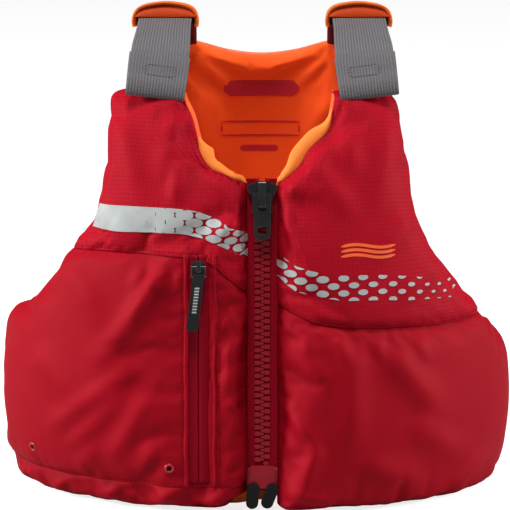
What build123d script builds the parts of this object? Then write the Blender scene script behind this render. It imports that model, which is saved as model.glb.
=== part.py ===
"""Youth life jacket: a front-zip buoyancy vest with foam-filled fronts and back.

Frame, in millimetres: +Z up, -Y towards the front of the jacket, +X to the wearer's left.
The origin is the centre of the body opening in the plane of the hem. Left and right are the wearer's.
"""

import os
from functools import cache
from math import atan2, cos, degrees, pi, radians, sin, sqrt

from build123d import *

# ---- driving dimensions -------------------------------------------------------------------------
LEVELS = (0, 97, 194, 291)        # heights of the sections that shape the body opening
OPENING_A = (126, 133, 125, 111)  # half width of the body opening at each level
OPENING_B = (90, 88, 77, 54)      # half depth of the body opening at each level
PADDING = (37, 37, 29.5, 14.5)    # thickness of cover, foam and lining together at each level

FABRIC = 1.6                      # cover and lining thickness, with their seam allowance
GAP = 0.3                         # clearance between neighbouring soft layers
SHOULDER_Z = 263.7                # top edge of the fronts
NECK_Z = 210.5                    # where the neckline meets the zip
BACK_TOP_Z = 284                  # top edge of the back
BACK_TOP_X = 85                   # outer end of the back's shoulder edges
NECK_INNER_X = 48                 # inner end of a shoulder edge
SHOULDER_X = 69                   # centre of a shoulder strap where it leaves the front
CAP_X = 64                        # centre of a shoulder cap, further in than the strap's foot
ZIP_HALF_GAP = 11                 # half the gap between the two fronts, filled by the zip
FRONT_SIDE_Y = 5                  # where a front ends at the side
BACK_SIDE_Y = 50                  # where the back panel ends at the side
HEM_BAND = 17                     # height of the hem band under the pocket

WEBBING = 38                      # shoulder webbing width
WEBBING_THICK = 1.4
SIDE_WEBBING = 25                 # side webbing width
SIDE_Z = 62                       # height of the side straps
SIDE_X = 152                      # distance of the side straps from the middle

ZIP_BOTTOM = (-108.0, 12.0)       # y, z of the foot of the main zip line
ZIP_TOP = (-88.3, 214.0)          # y, z of its head
TOOTH_PITCH = 4.2
TAPE_THICK = 0.8

POCKET_X = -41                    # centre line of the pocket zip
POCKET_BOTTOM = (-122.0, 24.0)    # y, z of the foot of the pocket zip line
POCKET_TOP = (-111.6, 166.0)      # y, z of its head
POCKET_CHANNEL = (15, 5)          # width and depth of the recess that the pocket zip lies in

os.makedirs("parts", exist_ok=True)


def save(name, shape):
    """Write one node. A group of solids stays one node."""
    export_step(Compound(children=list(shape.solids())), f"parts/{name}.step")


def mirrored(shape):
    """The same piece for the other side of the jacket."""
    return mirror(shape, about=Plane.YZ)


def redrawn(face):
    """The same face, with every curved edge that is not an arc drawn as a plain spline."""
    edges = []
    for edge in face.outer_wire().edges():
        if edge.geom_type not in (GeomType.LINE, GeomType.CIRCLE):
            points = [edge @ (i / 12) for i in range(13)]
            edge = Edge.make_spline(points, tangents=(edge % 0, edge % 1))
        edges.append(edge)
    return Face(Wire(edges))


# ---- the padded body ----------------------------------------------------------------------------
@cache
def torso(share, extra=0.0):
    """The jacket's body filled solid out to a share of its padding, plus an extra offset."""
    rings = []
    for z, a, b, pad in zip(LEVELS, OPENING_A, OPENING_B, PADDING):
        grow = share * pad + extra
        rings.append(Pos(0, 0, z) * Ellipse(a + grow, b + grow))
    return loft(rings)


def front_outline():
    """Front view of the wearer's left front, as a sketch with the zip edge at the left."""
    with BuildSketch(Plane.XZ.offset(-FRONT_SIDE_Y)) as sketch:
        with BuildLine():
            Polyline((210, 100), (210, 0), (ZIP_HALF_GAP, 0), (ZIP_HALF_GAP, NECK_Z))
            Spline((ZIP_HALF_GAP, NECK_Z), (34, 232), (NECK_INNER_X, SHOULDER_Z),
                   tangents=((1, 0.9), (0.25, 1)))
            Line((NECK_INNER_X, SHOULDER_Z), (92, SHOULDER_Z))
            Spline((92, SHOULDER_Z), (98, 232), (108, 190), (125, 148), (152, 119), (210, 98),
                   tangents=((0.3, -1), (1, -0.25)))
        make_face()
    return sketch.sketch


def back_outline():
    """Rear view outline of the whole back panel."""
    with BuildSketch(Plane.XZ.offset(-BACK_SIDE_Y)) as sketch:
        with BuildLine():
            Polyline((-210, 88), (-210, 0), (210, 0), (210, 88))
            for side in (1, -1):
                Spline((side * 210, 88), (side * 165, 92), (side * 138, 104), (side * 110, 132),
                       (side * 95, 172), (side * 87, 232), (side * BACK_TOP_X, BACK_TOP_Z),
                       tangents=((-side, 0), (-side * 0.1, 2)))
                Line((side * BACK_TOP_X, BACK_TOP_Z), (side * NECK_INNER_X, BACK_TOP_Z))
            Spline((NECK_INNER_X, BACK_TOP_Z), (0, BACK_TOP_Z - 9), (-NECK_INNER_X, BACK_TOP_Z),
                   tangents=((-1, -0.3), (-1, 0.3)))
        make_face()
    return sketch.sketch


def front_block(inset=0.0):
    sketch = front_outline()
    if inset:
        sketch = redrawn(offset(sketch, amount=-inset, kind=Kind.INTERSECTION).face())
    return extrude(sketch, amount=200)


def back_block(inset=0.0):
    sketch = back_outline()
    if inset:
        sketch = redrawn(offset(sketch, amount=-inset, kind=Kind.INTERSECTION).face())
    return extrude(sketch, amount=-200)


def padded_panel(block, side_cut):
    """Cover tray, lining and two foam slabs of one panel. block gives its outline at an inset,
    and side_cut gives the space that its side edge has to stay out of at an inset."""
    full, skin = torso(1), torso(1, -FABRIC)
    opening, lined = torso(0), torso(0, FABRIC)
    inside = block(FABRIC) - side_cut(FABRIC)
    loose = block(FABRIC + GAP) - side_cut(FABRIC + GAP)
    cover = (full - opening) & (block(0) - side_cut(0))
    cover -= inside & skin
    lining = (lined - opening) & loose
    foam_inner = (torso(0.5, -GAP / 2) - torso(0, FABRIC + GAP)) & loose
    foam_outer = (torso(1, -FABRIC - GAP) - torso(0.5, GAP / 2)) & loose
    return cover, lining, foam_inner, foam_outer


def front_side_cut(inset):
    """Everything behind a front's side edge."""
    return Pos(0, FRONT_SIDE_Y - inset + 200, 150) * Box(600, 400, 400)


def back_side_cut(inset):
    """Everything in front of the back panel's side edge."""
    return Pos(0, BACK_SIDE_Y + inset - 200, 150) * Box(600, 400, 400)


def above_yoke_seam(shift=0.0):
    """The space above the yoke seam, which runs across both fronts in one sweep."""
    with BuildSketch(Plane.XZ.offset(-100)) as sketch:
        with BuildLine():
            Spline((-210, 168 + shift), (-121, 169 + shift), (-52, 169 + shift), (-12, 150 + shift),
                   (12, 134 + shift), (52, 122 + shift), (92, 119 + shift), (210, 121 + shift))
            Polyline((210, 121 + shift), (210, 320), (-210, 320), (-210, 168 + shift))
        make_face()
    return extrude(sketch.sketch, amount=400)


# ---- straps and webbing -------------------------------------------------------------------------
def ribbon(line, thick, width, centre):
    """Webbing: a centre line in a plane, thickened and made as wide as the webbing."""
    band = offset(line, amount=thick / 2, side=Side.BOTH)
    face = redrawn(make_face(band.edges()).face())
    return Pos(*centre) * extrude(face, amount=width / 2, both=True)


def tilted(foot, head):
    """Location whose Z runs along a zip line, from foot to head, at the foot."""
    lean = degrees(atan2(head[0] - foot[0], head[1] - foot[1]))
    return Pos(0, foot[0], foot[1]) * Rot(-lean, 0, 0)


def line_length(foot, head):
    return sqrt((head[0] - foot[0]) ** 2 + (head[1] - foot[1]) ** 2)


MAIN_ZIP = tilted(ZIP_BOTTOM, ZIP_TOP)
MAIN_LENGTH = line_length(ZIP_BOTTOM, ZIP_TOP)
POCKET_ZIP = Pos(POCKET_X, 0, 0) * tilted(POCKET_BOTTOM, POCKET_TOP)
POCKET_LENGTH = line_length(POCKET_BOTTOM, POCKET_TOP)


# ---- main zip, in its own frame: Z along the zip, -Y outwards ------------------------------------
TOOTH_REACH = 1.2                 # how far a tooth crosses the middle
TOOTH_ROOT = 5.2                  # how far a tooth's root stands from the middle
TOOTH_DEPTH = 2.8
BOX_TOP = 17                      # top of the retaining box
SLIDER_TALL = 20
SLIDER_CENTRE = MAIN_LENGTH - 2 - SLIDER_TALL / 2  # where the closed slider stands along the zip
WEDGE_FOOT = SLIDER_CENTRE + SLIDER_TALL / 2 - 4   # the teeth end where the slider's wedge begins


def tooth(z, side):
    """One moulded tooth: a wide root clamped on the tape edge and a nose that interlocks."""
    root = Pos(side * (1.5 + TOOTH_ROOT) / 2, 0, z) * Box(TOOTH_ROOT - 1.5, TOOTH_DEPTH, 2.9)
    nose = Pos(side * (1.5 - TOOTH_REACH) / 2, 0, z) * Box(1.5 + TOOTH_REACH, TOOTH_DEPTH, 1.7)
    shape = root + nose
    across = shape.edges().filter_by(Axis.Z).sort_by(Axis.X)
    return fillet(across[:2] + across[-2:], 0.5)


def zip_teeth(side):
    """The teeth of one side, its top stop and, at the foot, the pin or the retaining box."""
    first = BOX_TOP + 3.4 + (TOOTH_PITCH / 2 if side > 0 else 0)
    count = int((WEDGE_FOOT - 1.2 - first) / TOOTH_PITCH) + 1
    pieces = [tooth(first + i * TOOTH_PITCH, side) for i in range(count)]
    pieces.append(Pos(side * 3.2, 0, MAIN_LENGTH - 0.9) * Box(2.6, 5.2, 1.8))
    return pieces


def slot_for_tape(side, z, height):
    """The cut that lets the tape edge into a moulded piece."""
    return Pos(side * 6, 0, z) * Box(9, TAPE_THICK + 0.3, height)


def right_zip_plastics():
    """Right teeth with the retaining box, whose socket holds the left pin."""
    pieces = [p - slot_for_tape(-1, MAIN_LENGTH / 2, MAIN_LENGTH + 20) for p in zip_teeth(-1)]
    box = Pos(0, 0, 9) * Box(16.5, 6, 15)
    box = fillet(box.edges().filter_by(Axis.Y), 1.6)
    box -= Pos(2.4, 0, 12) * Box(4.0, 4.2, 14)
    box -= slot_for_tape(1, 12, 14)
    box -= slot_for_tape(-1, 9, 20)
    pieces.append(box)
    return Compound(children=[s for p in pieces for s in p.solids()])


def left_zip_plastics():
    """Left teeth with the insertion pin."""
    pieces = [p - slot_for_tape(1, MAIN_LENGTH / 2, MAIN_LENGTH + 20) for p in zip_teeth(1)]
    pin = Pos(2.4, 0, 12.3) * Box(3.2, 3.4, 13.6)
    pieces.append(pin - slot_for_tape(1, 13, 20))
    return Compound(children=[s for p in pieces for s in p.solids()])


def zip_tape(side, bottom):
    """Woven tape, from the tooth roots to the edge of the front."""
    inner, outer = 2.9, ZIP_HALF_GAP - 0.4
    return Pos(side * (inner + outer) / 2, 0, (bottom + MAIN_LENGTH) / 2) * Box(
        outer - inner, TAPE_THICK, MAIN_LENGTH - bottom)


# The slider's own frame has its origin at the slider's middle.
PULL_PIVOT = (-6.6, 2.0)          # y, z of the pull's axle
SLIDER_PLATE_Y = 2.9              # middle of each plate, from the tooth line
BRIDGE_HALF = 8.6


def slider_plate(wide, narrow, tall, thick):
    """A plate that is wide at its shoulders, where the teeth come in, and narrow at its tail."""
    half = tall / 2
    with BuildSketch(Plane.XZ) as sketch:
        with BuildLine():
            Polyline((narrow / 2, -half), (narrow / 2, 0), (wide / 2, half - 5),
                     (wide / 2, half - 2))
            ThreePointArc((wide / 2, half - 2), (0, half), (-wide / 2, half - 2))
            Polyline((-wide / 2, half - 2), (-wide / 2, half - 5), (-narrow / 2, 0),
                     (-narrow / 2, -half), (narrow / 2, -half))
        make_face()
    return extrude(sketch.sketch, amount=thick / 2, both=True)


def slider_body(wide, narrow, tall, plate_y, bridge_half, pivot, bridge_width):
    """Two plates, the wedge that parts the teeth, side flanges and the bridge for the pull."""
    thick = 1.4
    body = Pos(0, -plate_y, 0) * slider_plate(wide, narrow, tall, thick)
    body += Pos(0, plate_y, 0) * slider_plate(wide, narrow, tall, thick)
    body += Pos(0, 0, tall / 2 - 2.4) * Box(1.8, 2 * plate_y, 3.2)
    for side in (1, -1):
        for face in (1, -1):
            flange = Box(0.9, plate_y - TAPE_THICK, tall / 2 - 0.6)
            middle = face * (plate_y + TAPE_THICK) / 2
            body += Pos(side * (narrow / 2 - 0.45), middle, -tall / 4 - 0.2) * flange
    top = pivot[0] - 2.7
    arch = Pos(0, (top - plate_y) / 2, pivot[1]) * Box(bridge_width, plate_y - top - 2 * plate_y,
                                                       2 * bridge_half)
    arch = fillet(arch.edges().filter_by(Axis.X).group_by(Axis.Y)[0], 1.6)
    hollow = Box(bridge_width + 1, 2.9, 2 * bridge_half - 3.6)
    arch -= Pos(0, pivot[0], pivot[1]) * hollow
    return body + arch


def main_slider():
    return slider_body(19, 12.8, SLIDER_TALL, SLIDER_PLATE_Y, BRIDGE_HALF, PULL_PIVOT, 4.6)


def main_pull():
    """Pull tab on an axle under the bridge, with a window at its tip. Built hanging down."""
    width, length, thick, slot_end = 11.4, 32, 1.9, 10.4
    tip = -length + 2.2
    with BuildSketch(Plane.XZ) as sketch:
        with BuildLine():
            Polyline((width / 2, 1.1), (width / 2 - 0.4, tip + 4))
            ThreePointArc((width / 2 - 0.4, tip + 4), (0, tip), (-width / 2 + 0.4, tip + 4))
            Polyline((-width / 2 + 0.4, tip + 4), (-width / 2, 1.1), (width / 2, 1.1))
        make_face()
        with Locations((0, (-1.0 - slot_end) / 2)):
            Rectangle(5.8, slot_end - 1.0, mode=Mode.SUBTRACT)
        with Locations((0, tip + 6.6)):
            RectangleRounded(6.2, 4.6, 0.8, mode=Mode.SUBTRACT)
    plate = extrude(sketch.sketch, amount=thick / 2, both=True)
    axle = Rot(0, 90, 0) * Cylinder(1.0, width)
    ring = plate + axle
    return Pos(0, PULL_PIVOT[0], PULL_PIVOT[1]) * ring


# ---- pocket zip ---------------------------------------------------------------------------------
POCKET_PIVOT = (-3.9, 1.0)        # y, z of the ring's axle in the pocket slider's frame
PULL_LEAN = 5                     # degrees that the hanging pull stands off the cover
RING_DROP = 6.5                   # from the ring's axle down to the bar that holds the tab
POCKET_SLIDER_Z = POCKET_LENGTH - 6.5


def pocket_coil():
    """Interlocked coil, as a row of low turns along the middle of the tape."""
    pitch = 2.4
    count = int((POCKET_LENGTH - 8.4) / pitch)
    turns = []
    for i in range(count):
        turn = Pos(0, 0, 3 + i * pitch) * Box(4.4, 1.5, 1.5)
        turns.append(fillet(turn.edges().filter_by(Axis.X), 0.45))
    return Compound(children=[s for t in turns for s in t.solids()])


def pocket_tapes():
    """The two tape halves, either side of the coil."""
    halves = [Pos(side * 4.75, 0, POCKET_LENGTH / 2) * Box(4.6, TAPE_THICK, POCKET_LENGTH)
              for side in (1, -1)]
    return Compound(children=[s for h in halves for s in h.solids()])


def pocket_slider():
    body = Pos(0, -1.85, 0) * slider_plate(9, 6.8, 10, 1.1)
    body += Pos(0, 1.85, 0) * slider_plate(9, 6.8, 10, 1.1)
    body += Pos(0, 0, 3.4) * Box(1.2, 3.8, 1.4)
    arch = Pos(0, POCKET_PIVOT[0] + 0.2, POCKET_PIVOT[1]) * Box(2.6, 3.8, 7)
    arch -= Pos(0, POCKET_PIVOT[0] + 0.3, POCKET_PIVOT[1]) * Box(4, 2.0, 4.6)
    return body + arch


def pocket_ring():
    """Wire loop: an axle under the bridge, two legs and a foot that holds the tab."""
    wire = 0.6
    half, drop = 4.2, RING_DROP
    legs = [Pos(side * half, 0, -drop / 2) * Cylinder(wire, drop) for side in (1, -1)]
    bars = [Pos(0, 0, z) * Rot(0, 90, 0) * Cylinder(wire, 2 * half + 2 * wire) for z in (0, -drop)]
    loop = bars[0] + bars[1] + legs[0] + legs[1]
    return Pos(0, POCKET_PIVOT[0], POCKET_PIVOT[1]) * Rot(-PULL_LEAN, 0, 0) * loop


def pocket_tab():
    """Rubber tab folded round the foot of the loop. It hangs a little to one side."""
    length, width, thick = 37, 7.2, 2.6
    body = Pos(0, 0, -length / 2 + 2) * Box(width, thick, length)
    body = Rot(0, 7, 0) * fillet(body.edges().filter_by(Axis.Y), 1.2)
    body -= Rot(0, 90, 0) * Cylinder(0.75, width + 4)
    return Pos(0, POCKET_PIVOT[0], POCKET_PIVOT[1]) * Rot(-PULL_LEAN, 0, 0) * Pos(0, 0, -RING_DROP) * body


# ---- adjusters ----------------------------------------------------------------------------------
def ladder_lock(webbing, length, thick, rail):
    """Adjuster frame with three bars, in the XY plane with Y along the strap."""
    frame = Box(webbing + 0.6 + 2 * rail, length, thick)
    frame = fillet(frame.edges().filter_by(Axis.Z), 2.5)
    slot = (length - 3 * 3.4) / 2
    for side in (1, -1):
        frame -= Pos(0, side * (slot + 3.4) / 2, 0) * Box(webbing + 0.6, slot, thick + 2)
    return fillet(frame.edges().group_by(Axis.Z)[-1], 0.5)


def round_bar(length, radius):
    return Rot(0, 90, 0) * Cylinder(radius, length)


# The shoulder strap rises from the front's top edge, crosses the shoulder and ends in the adjuster.
BAR_Y, BAR_Z = -57.0, 270.2       # centre of the bar that the strap is folded round
CAP_Y, CAP_Z = 6.0, 310.0         # centre of the shoulder cap
CAP_LEAN = 4.0                    # degrees that the cap falls towards the back
BAR_R = 1.8
STRAP_LEAN = degrees(atan2(SHOULDER_X - CAP_X, CAP_Z - BAR_Z))
STRAP_FOOT = Pos(SHOULDER_X, 0, BAR_Z) * Rot(0, -STRAP_LEAN, 0)
LOCK_LENGTH = 22


def shoulder_webbing():
    """Strap folded round the bar in the top of the front, with its end stitched back on itself."""
    around = BAR_R + 0.3 + WEBBING_THICK / 2
    with BuildLine(Plane.YZ) as path:
        fold_top = BAR_Z + 19
        Line((BAR_Y - around - 1.6, fold_top), (BAR_Y - around, BAR_Z))
        ThreePointArc((BAR_Y - around, BAR_Z), (BAR_Y, BAR_Z - around), (BAR_Y + around, BAR_Z))
        Spline((BAR_Y + around, BAR_Z), (BAR_Y + 8, BAR_Z + 20), (-26, 305.5), (-7, 309.6),
               tangents=((0, 1), (1, 0.05)))
    return STRAP_FOOT * ribbon(path.line, WEBBING_THICK, WEBBING, (0, 0, -BAR_Z))


def shoulder_pad():
    """Thin padded strap that carries the adjuster from the top of the back panel."""
    with BuildLine(Plane.YZ) as path:
        Spline((27.4, 306.4), (40, 301.8), (49, 294.5), (52, 287.8), tangents=((1, -0.2), (0.1, -1)))
    return ribbon(path.line, 6, WEBBING + 2, (CAP_X, 0, 0))


def shoulder_cap():
    """Orange cap over the adjuster: a domed sleeve, open to the front, that the strap runs into."""
    width, length, height = WEBBING + 9, 34, 15.5
    outer = Box(width, length, height)
    outer = fillet(outer.edges().filter_by(Axis.Y).group_by(Axis.Z)[-1], 6)
    outer = fillet(outer.edges().filter_by(Axis.Y).group_by(Axis.Z)[0], 2.5)
    hollow = Pos(0, 0, -0.6) * Box(width - 3.8, length + 2, height - 5)
    shape = outer - hollow
    return Pos(CAP_X, CAP_Y, CAP_Z) * Rot(-CAP_LEAN, 0, 0) * shape


def shoulder_lock():
    frame = ladder_lock(WEBBING, LOCK_LENGTH, 3, 1.7)
    return Pos(CAP_X, CAP_Y + 2.5, CAP_Z - 1.4) * Rot(-CAP_LEAN, 0, 0) * frame


def shoulder_bar():
    """Bar with an ear at each end that is sewn into the top of the front."""
    bar = Pos(0, BAR_Y, 0) * round_bar(WEBBING + 2, BAR_R)
    for side in (1, -1):
        bar += Pos(side * (WEBBING / 2 + 1.1), BAR_Y, -0.9) * Box(1.4, 3.6, 4.6)
    return STRAP_FOOT * bar


# The side straps bridge the gap under each arm. Y runs along the strap.
LOCK_Y = 27.0                     # centre of a side adjuster
SIDE_LOCK_LENGTH = 24
SIDE_BAR = SIDE_LOCK_LENGTH / 2 - 1.7  # distance of the end bars from the adjuster's centre


def strap_loop(bar_y, towards, start, tail):
    """Plan view of webbing that comes from start, turns round an adjuster's bar and ends at tail."""
    around = 1.7 + 0.3 + WEBBING_THICK / 2
    with BuildLine(Plane.XY) as path:
        Line((-around, start), (-around, bar_y))
        ThreePointArc((-around, bar_y), (0, bar_y - towards * around), (around, bar_y))
        Line((around, bar_y), (around + 0.4, tail))
    return path.line


def side_webbing():
    """Strap from the back panel, round the adjuster's rear bar, with a free tail outside."""
    line = strap_loop(LOCK_Y + SIDE_BAR, 1, BACK_SIDE_Y - 1.1, 46)
    return ribbon(line, WEBBING_THICK, SIDE_WEBBING, (SIDE_X, 0, SIDE_Z))


def side_anchor():
    """Short loop that ties the adjuster's front bar to the front."""
    line = strap_loop(LOCK_Y - SIDE_BAR, -1, FRONT_SIDE_Y + 1.1, FRONT_SIDE_Y + 1.9)
    return ribbon(line, WEBBING_THICK, SIDE_WEBBING, (SIDE_X, 0, SIDE_Z))


def side_lock():
    """Side adjuster, with round bars so that the webbing can turn round them."""
    outer = SIDE_WEBBING + 8
    rails = Box(3.2, SIDE_LOCK_LENGTH, 4)
    body = Pos(outer / 2 - 1.6, 0, 0) * rails + Pos(1.6 - outer / 2, 0, 0) * rails
    for y in (-SIDE_BAR, 0, SIDE_BAR):
        body += Pos(0, y, 0) * round_bar(outer - 2, 1.7)
    return Pos(SIDE_X, LOCK_Y, SIDE_Z) * Rot(0, 90, 0) * body


# ---- small parts on the fronts ------------------------------------------------------------------
def zip_tab(x, lean):
    """Webbing tab at the foot of the zip, pulled on while the zip is started."""
    with BuildSketch(Plane.XZ) as sketch:
        SlotCenterToCenter(9, 8, rotation=90)
    tab = extrude(sketch.sketch, amount=0.9, both=True)
    return MAIN_ZIP * Pos(x, -4.3, -3.0) * Rot(0, lean, 0) * tab


DRAINS = ((-151, 32), (-60, 30))  # x, z of the pocket's drain eyelets
EYELET_R, EYELET_HOLE = 3.4, 1.5


def drain_place(x, z):
    """Where a drain eyelet sits on the cover, with Z pointing out of the cover."""
    hits = torso(1).find_intersection_points(Axis((x, 0, z), (0, -1, 0)))
    point, normal = min(hits, key=lambda hit: hit[0].Y)
    return Plane(point, z_dir=normal).location


def eyelet():
    """Pressed ring with a flange each side of the fabric."""
    ring = Cylinder(2.2, 3.6) - Cylinder(EYELET_HOLE, 8)
    for z in (1.5, -1.5):
        ring += Pos(0, 0, z) * (Cylinder(EYELET_R, 0.6) - Cylinder(EYELET_HOLE, 2))
    return ring


def build_back():
    cover, lining, foam_inner, foam_outer = padded_panel(back_block, back_side_cut)
    save("back_cover", cover)
    save("back_lining", lining)
    save("back_foam_inner", foam_inner)
    save("back_foam_outer", foam_outer)


def build_fronts():
    cover, lining, foam_inner, foam_outer = padded_panel(front_block, front_side_cut)
    save("left_lining", lining)
    save("left_foam_inner", foam_inner)
    save("left_foam_outer", foam_outer)
    yoke_low, yoke_high = above_yoke_seam(), above_yoke_seam(GAP)
    save("left_yoke_cover", cover & yoke_high)
    save("left_lower_cover", cover - yoke_low)

    wide, deep = POCKET_CHANNEL
    recess = POCKET_ZIP * Pos(0, deep - 15, POCKET_LENGTH / 2) * Box(wide, 30, POCKET_LENGTH + 4)
    drains = [drain_place(x, z) for x, z in DRAINS]
    holes = [place * Cylinder(2.4, 24) for place in drains]
    cover, foam_outer = mirrored(cover), mirrored(foam_outer)
    save("right_lining", mirrored(lining))
    save("right_foam_inner", mirrored(foam_inner))
    foam_cut = foam_outer - recess
    for place in drains:
        foam_cut -= place * Cylinder(EYELET_R + 1.2, 16)
    save("right_foam_outer", foam_cut)
    save("right_yoke_cover", (cover & yoke_high) - recess)
    hem = Pos(0, 0, HEM_BAND - GAP - 50) * Box(600, 600, 100)
    save("right_hem_band", cover & hem)
    pocket = cover - yoke_low - (Pos(0, 0, HEM_BAND - 50) * Box(600, 600, 100)) - recess
    for hole in holes:
        pocket -= hole
    save("right_pocket_panel", pocket)
    eyelets = [place * Pos(0, 0, -FABRIC / 2) * eyelet() for place in drains]
    save("drain_eyelets", Compound(children=[s for e in eyelets for s in e.solids()]))


def build_zips():
    save("right_zip_tape", MAIN_ZIP * zip_tape(-1, 0))
    save("left_zip_tape", MAIN_ZIP * zip_tape(1, 6))
    save("right_zip_teeth", MAIN_ZIP * right_zip_plastics())
    save("left_zip_teeth", MAIN_ZIP * left_zip_plastics())
    at_slider = MAIN_ZIP * Pos(0, 0, SLIDER_CENTRE)
    save("main_slider", at_slider * main_slider())
    save("main_pull", at_slider * main_pull())
    save("right_zip_tab", zip_tab(-6.1, 6))
    save("left_zip_tab", zip_tab(4.9, 22))
    lying = POCKET_ZIP * Pos(0, 1.0, 0)
    save("pocket_zip_tape", lying * pocket_tapes())
    save("pocket_zip_coil", lying * pocket_coil())
    at_pocket = lying * Pos(0, 0, POCKET_SLIDER_Z)
    save("pocket_slider", at_pocket * pocket_slider())
    save("pocket_pull_ring", at_pocket * pocket_ring())
    save("pocket_pull_tab", at_pocket * pocket_tab())


def build_straps():
    pieces = {
        "shoulder_webbing": shoulder_webbing(),
        "shoulder_pad": shoulder_pad(),
        "shoulder_cap": shoulder_cap(),
        "shoulder_lock": shoulder_lock(),
        "shoulder_bar": shoulder_bar(),
        "side_webbing": side_webbing(),
        "side_anchor": side_anchor(),
        "side_lock": side_lock(),
    }
    for name, shape in pieces.items():
        save(f"left_{name}", shape)
        save(f"right_{name}", mirrored(shape))


build_back()
build_fronts()
build_zips()
build_straps()
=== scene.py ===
"""Looks of the youth life jacket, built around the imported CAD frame.

Shapes are worked out in millimetres and turned into metres when a mesh is made. +Z is up, -Y is towards
the front of the jacket and +X towards the wearer's left. Left and right are the wearer's.
"""

import math

import bpy
import numpy as np
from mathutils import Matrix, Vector
from mathutils.bvhtree import BVHTree


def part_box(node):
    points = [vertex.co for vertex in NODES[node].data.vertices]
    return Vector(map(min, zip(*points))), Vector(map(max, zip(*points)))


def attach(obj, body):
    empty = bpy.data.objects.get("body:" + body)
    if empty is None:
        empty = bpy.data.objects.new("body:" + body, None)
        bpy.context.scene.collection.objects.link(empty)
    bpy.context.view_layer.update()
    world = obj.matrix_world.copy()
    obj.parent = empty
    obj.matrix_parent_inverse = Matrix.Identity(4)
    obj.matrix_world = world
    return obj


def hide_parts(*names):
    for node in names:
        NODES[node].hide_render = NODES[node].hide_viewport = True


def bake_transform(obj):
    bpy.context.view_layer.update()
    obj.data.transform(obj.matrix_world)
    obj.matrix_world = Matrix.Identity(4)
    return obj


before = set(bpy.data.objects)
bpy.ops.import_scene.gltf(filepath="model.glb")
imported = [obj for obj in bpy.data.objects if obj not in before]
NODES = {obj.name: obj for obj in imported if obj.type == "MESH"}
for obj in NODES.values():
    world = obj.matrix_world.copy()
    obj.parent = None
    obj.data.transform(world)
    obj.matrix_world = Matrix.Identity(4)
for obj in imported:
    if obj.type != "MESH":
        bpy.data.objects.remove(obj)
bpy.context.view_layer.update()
MM = 0.001

# ---- the body that the panels are wrapped round ---------------------------------------------------
LEVELS = (0, 97, 194, 291)
OPENING_A = (126, 133, 125, 111)
OPENING_B = (90, 88, 77, 54)
PADDING = (37, 37, 29.5, 14.5)
FLAT = 130.0                      # millimetres per radian when a panel is laid out flat
FRONT, BACK = -1, 1
SIDES = (("left", 1), ("right", -1))


def section(row, z):
    """Value of a driving dimension at height z: a cubic through the four levels."""
    total = 0.0
    for i, level in enumerate(LEVELS):
        weight = 1.0
        for j, other in enumerate(LEVELS):
            if j != i:
                weight = weight * (z - other) / (level - other)
        total = total + weight * row[i]
    return total


def torso(theta, z, share, face):
    """Points on the body at angle theta from the middle, out to a share of the padding."""
    a = section(OPENING_A, z) + share * section(PADDING, z)
    b = section(OPENING_B, z) + share * section(PADDING, z)
    return np.stack([a * np.sin(theta), face * b * np.cos(theta), z + 0 * theta], axis=-1)


def angle_at(x, z, share):
    a = section(OPENING_A, z) + share * section(PADDING, z)
    return np.arcsin(np.clip(x / a, -1, 1))


def flat(points, share):
    """Front-view points (x, z) laid out flat as (s, z)."""
    p = np.array(points, float)
    return np.stack([FLAT * angle_at(p[:, 0], p[:, 1], share), p[:, 1]], -1)


def turns(count):
    """Even angles once round."""
    return np.linspace(0, 2 * np.pi, count, endpoint=False)


def smoothstep(t):
    t = np.clip(t, 0, 1)
    return t * t * (3 - 2 * t)


def smooth(points, per=16):
    """Smooth curve through points."""
    p = np.array(points, float)
    ends = np.vstack([2 * p[0] - p[1], p, 2 * p[-1] - p[-2]])
    out = []
    for i in range(1, len(ends) - 2):
        p0, p1, p2, p3 = ends[i - 1:i + 3]
        t = np.linspace(0, 1, per, endpoint=False)[:, None]
        out.append(0.5 * (2 * p1 + (p2 - p0) * t + (2 * p0 - 5 * p1 + 4 * p2 - p3) * t ** 2
                          + (3 * p1 - p0 - 3 * p2 + p3) * t ** 3))
    return np.vstack(out + [p[-1:]])


def arc_length(line):
    step = np.linalg.norm(np.diff(line, axis=0), axis=1)
    return np.concatenate([[0.0], np.cumsum(step)])


def tangents(line):
    """Unit directions along a line of points."""
    run = np.gradient(line, axis=0)
    return run / np.linalg.norm(run, axis=1, keepdims=True)


def resample(line, count, cluster=0.0):
    """The same line with count points, even or drawn towards both ends."""
    s = arc_length(line)
    u = np.linspace(0, 1, count)
    u = ((1 - cluster) * u + cluster * (1 - np.cos(np.pi * u)) / 2) * s[-1]
    return np.stack([np.interp(u, s, line[:, k]) for k in range(line.shape[1])], -1)


def cut_at(line, z):
    """A rising line in two pieces, below and above height z."""
    k = int(np.argmax(line[:, 1] > z))
    t = (z - line[k - 1, 1]) / (line[k, 1] - line[k - 1, 1])
    point = line[k - 1] + t * (line[k] - line[k - 1])
    return np.vstack([line[:k], point]), np.vstack([point, line[k:]])


def coons(bottom, top, left, right):
    """Grid of points that fills four edges. Rows run from bottom to top."""
    u = np.linspace(0, 1, len(bottom))[None, :, None]
    v = np.linspace(0, 1, len(left))[:, None, None]
    ruled = (1 - v) * bottom[None] + v * top[None] + (1 - u) * left[:, None] + u * right[:, None]
    corners = ((1 - u) * (1 - v) * bottom[0] + u * (1 - v) * bottom[-1]
               + (1 - u) * v * top[0] + u * v * top[-1])
    return ruled - corners


# ---- outlines, seen from the front, for a panel on the +X side --------------------------------------
ZIP_FOOT, ZIP_HEAD = (-108.0, 12.0), (-88.3, 214.0)           # (y, z) of the main zip's ends
POCKET_FOOT, POCKET_HEAD = (-122.0, 24.0), (-111.6, 166.0)    # (y, z) of the pocket zip's ends
POCKET_X = -41.0
ZIP_EDGE = 9.6
NECK_Z = 210.5
SIDE_S = FLAT * (math.pi / 2 + 0.045)
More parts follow.
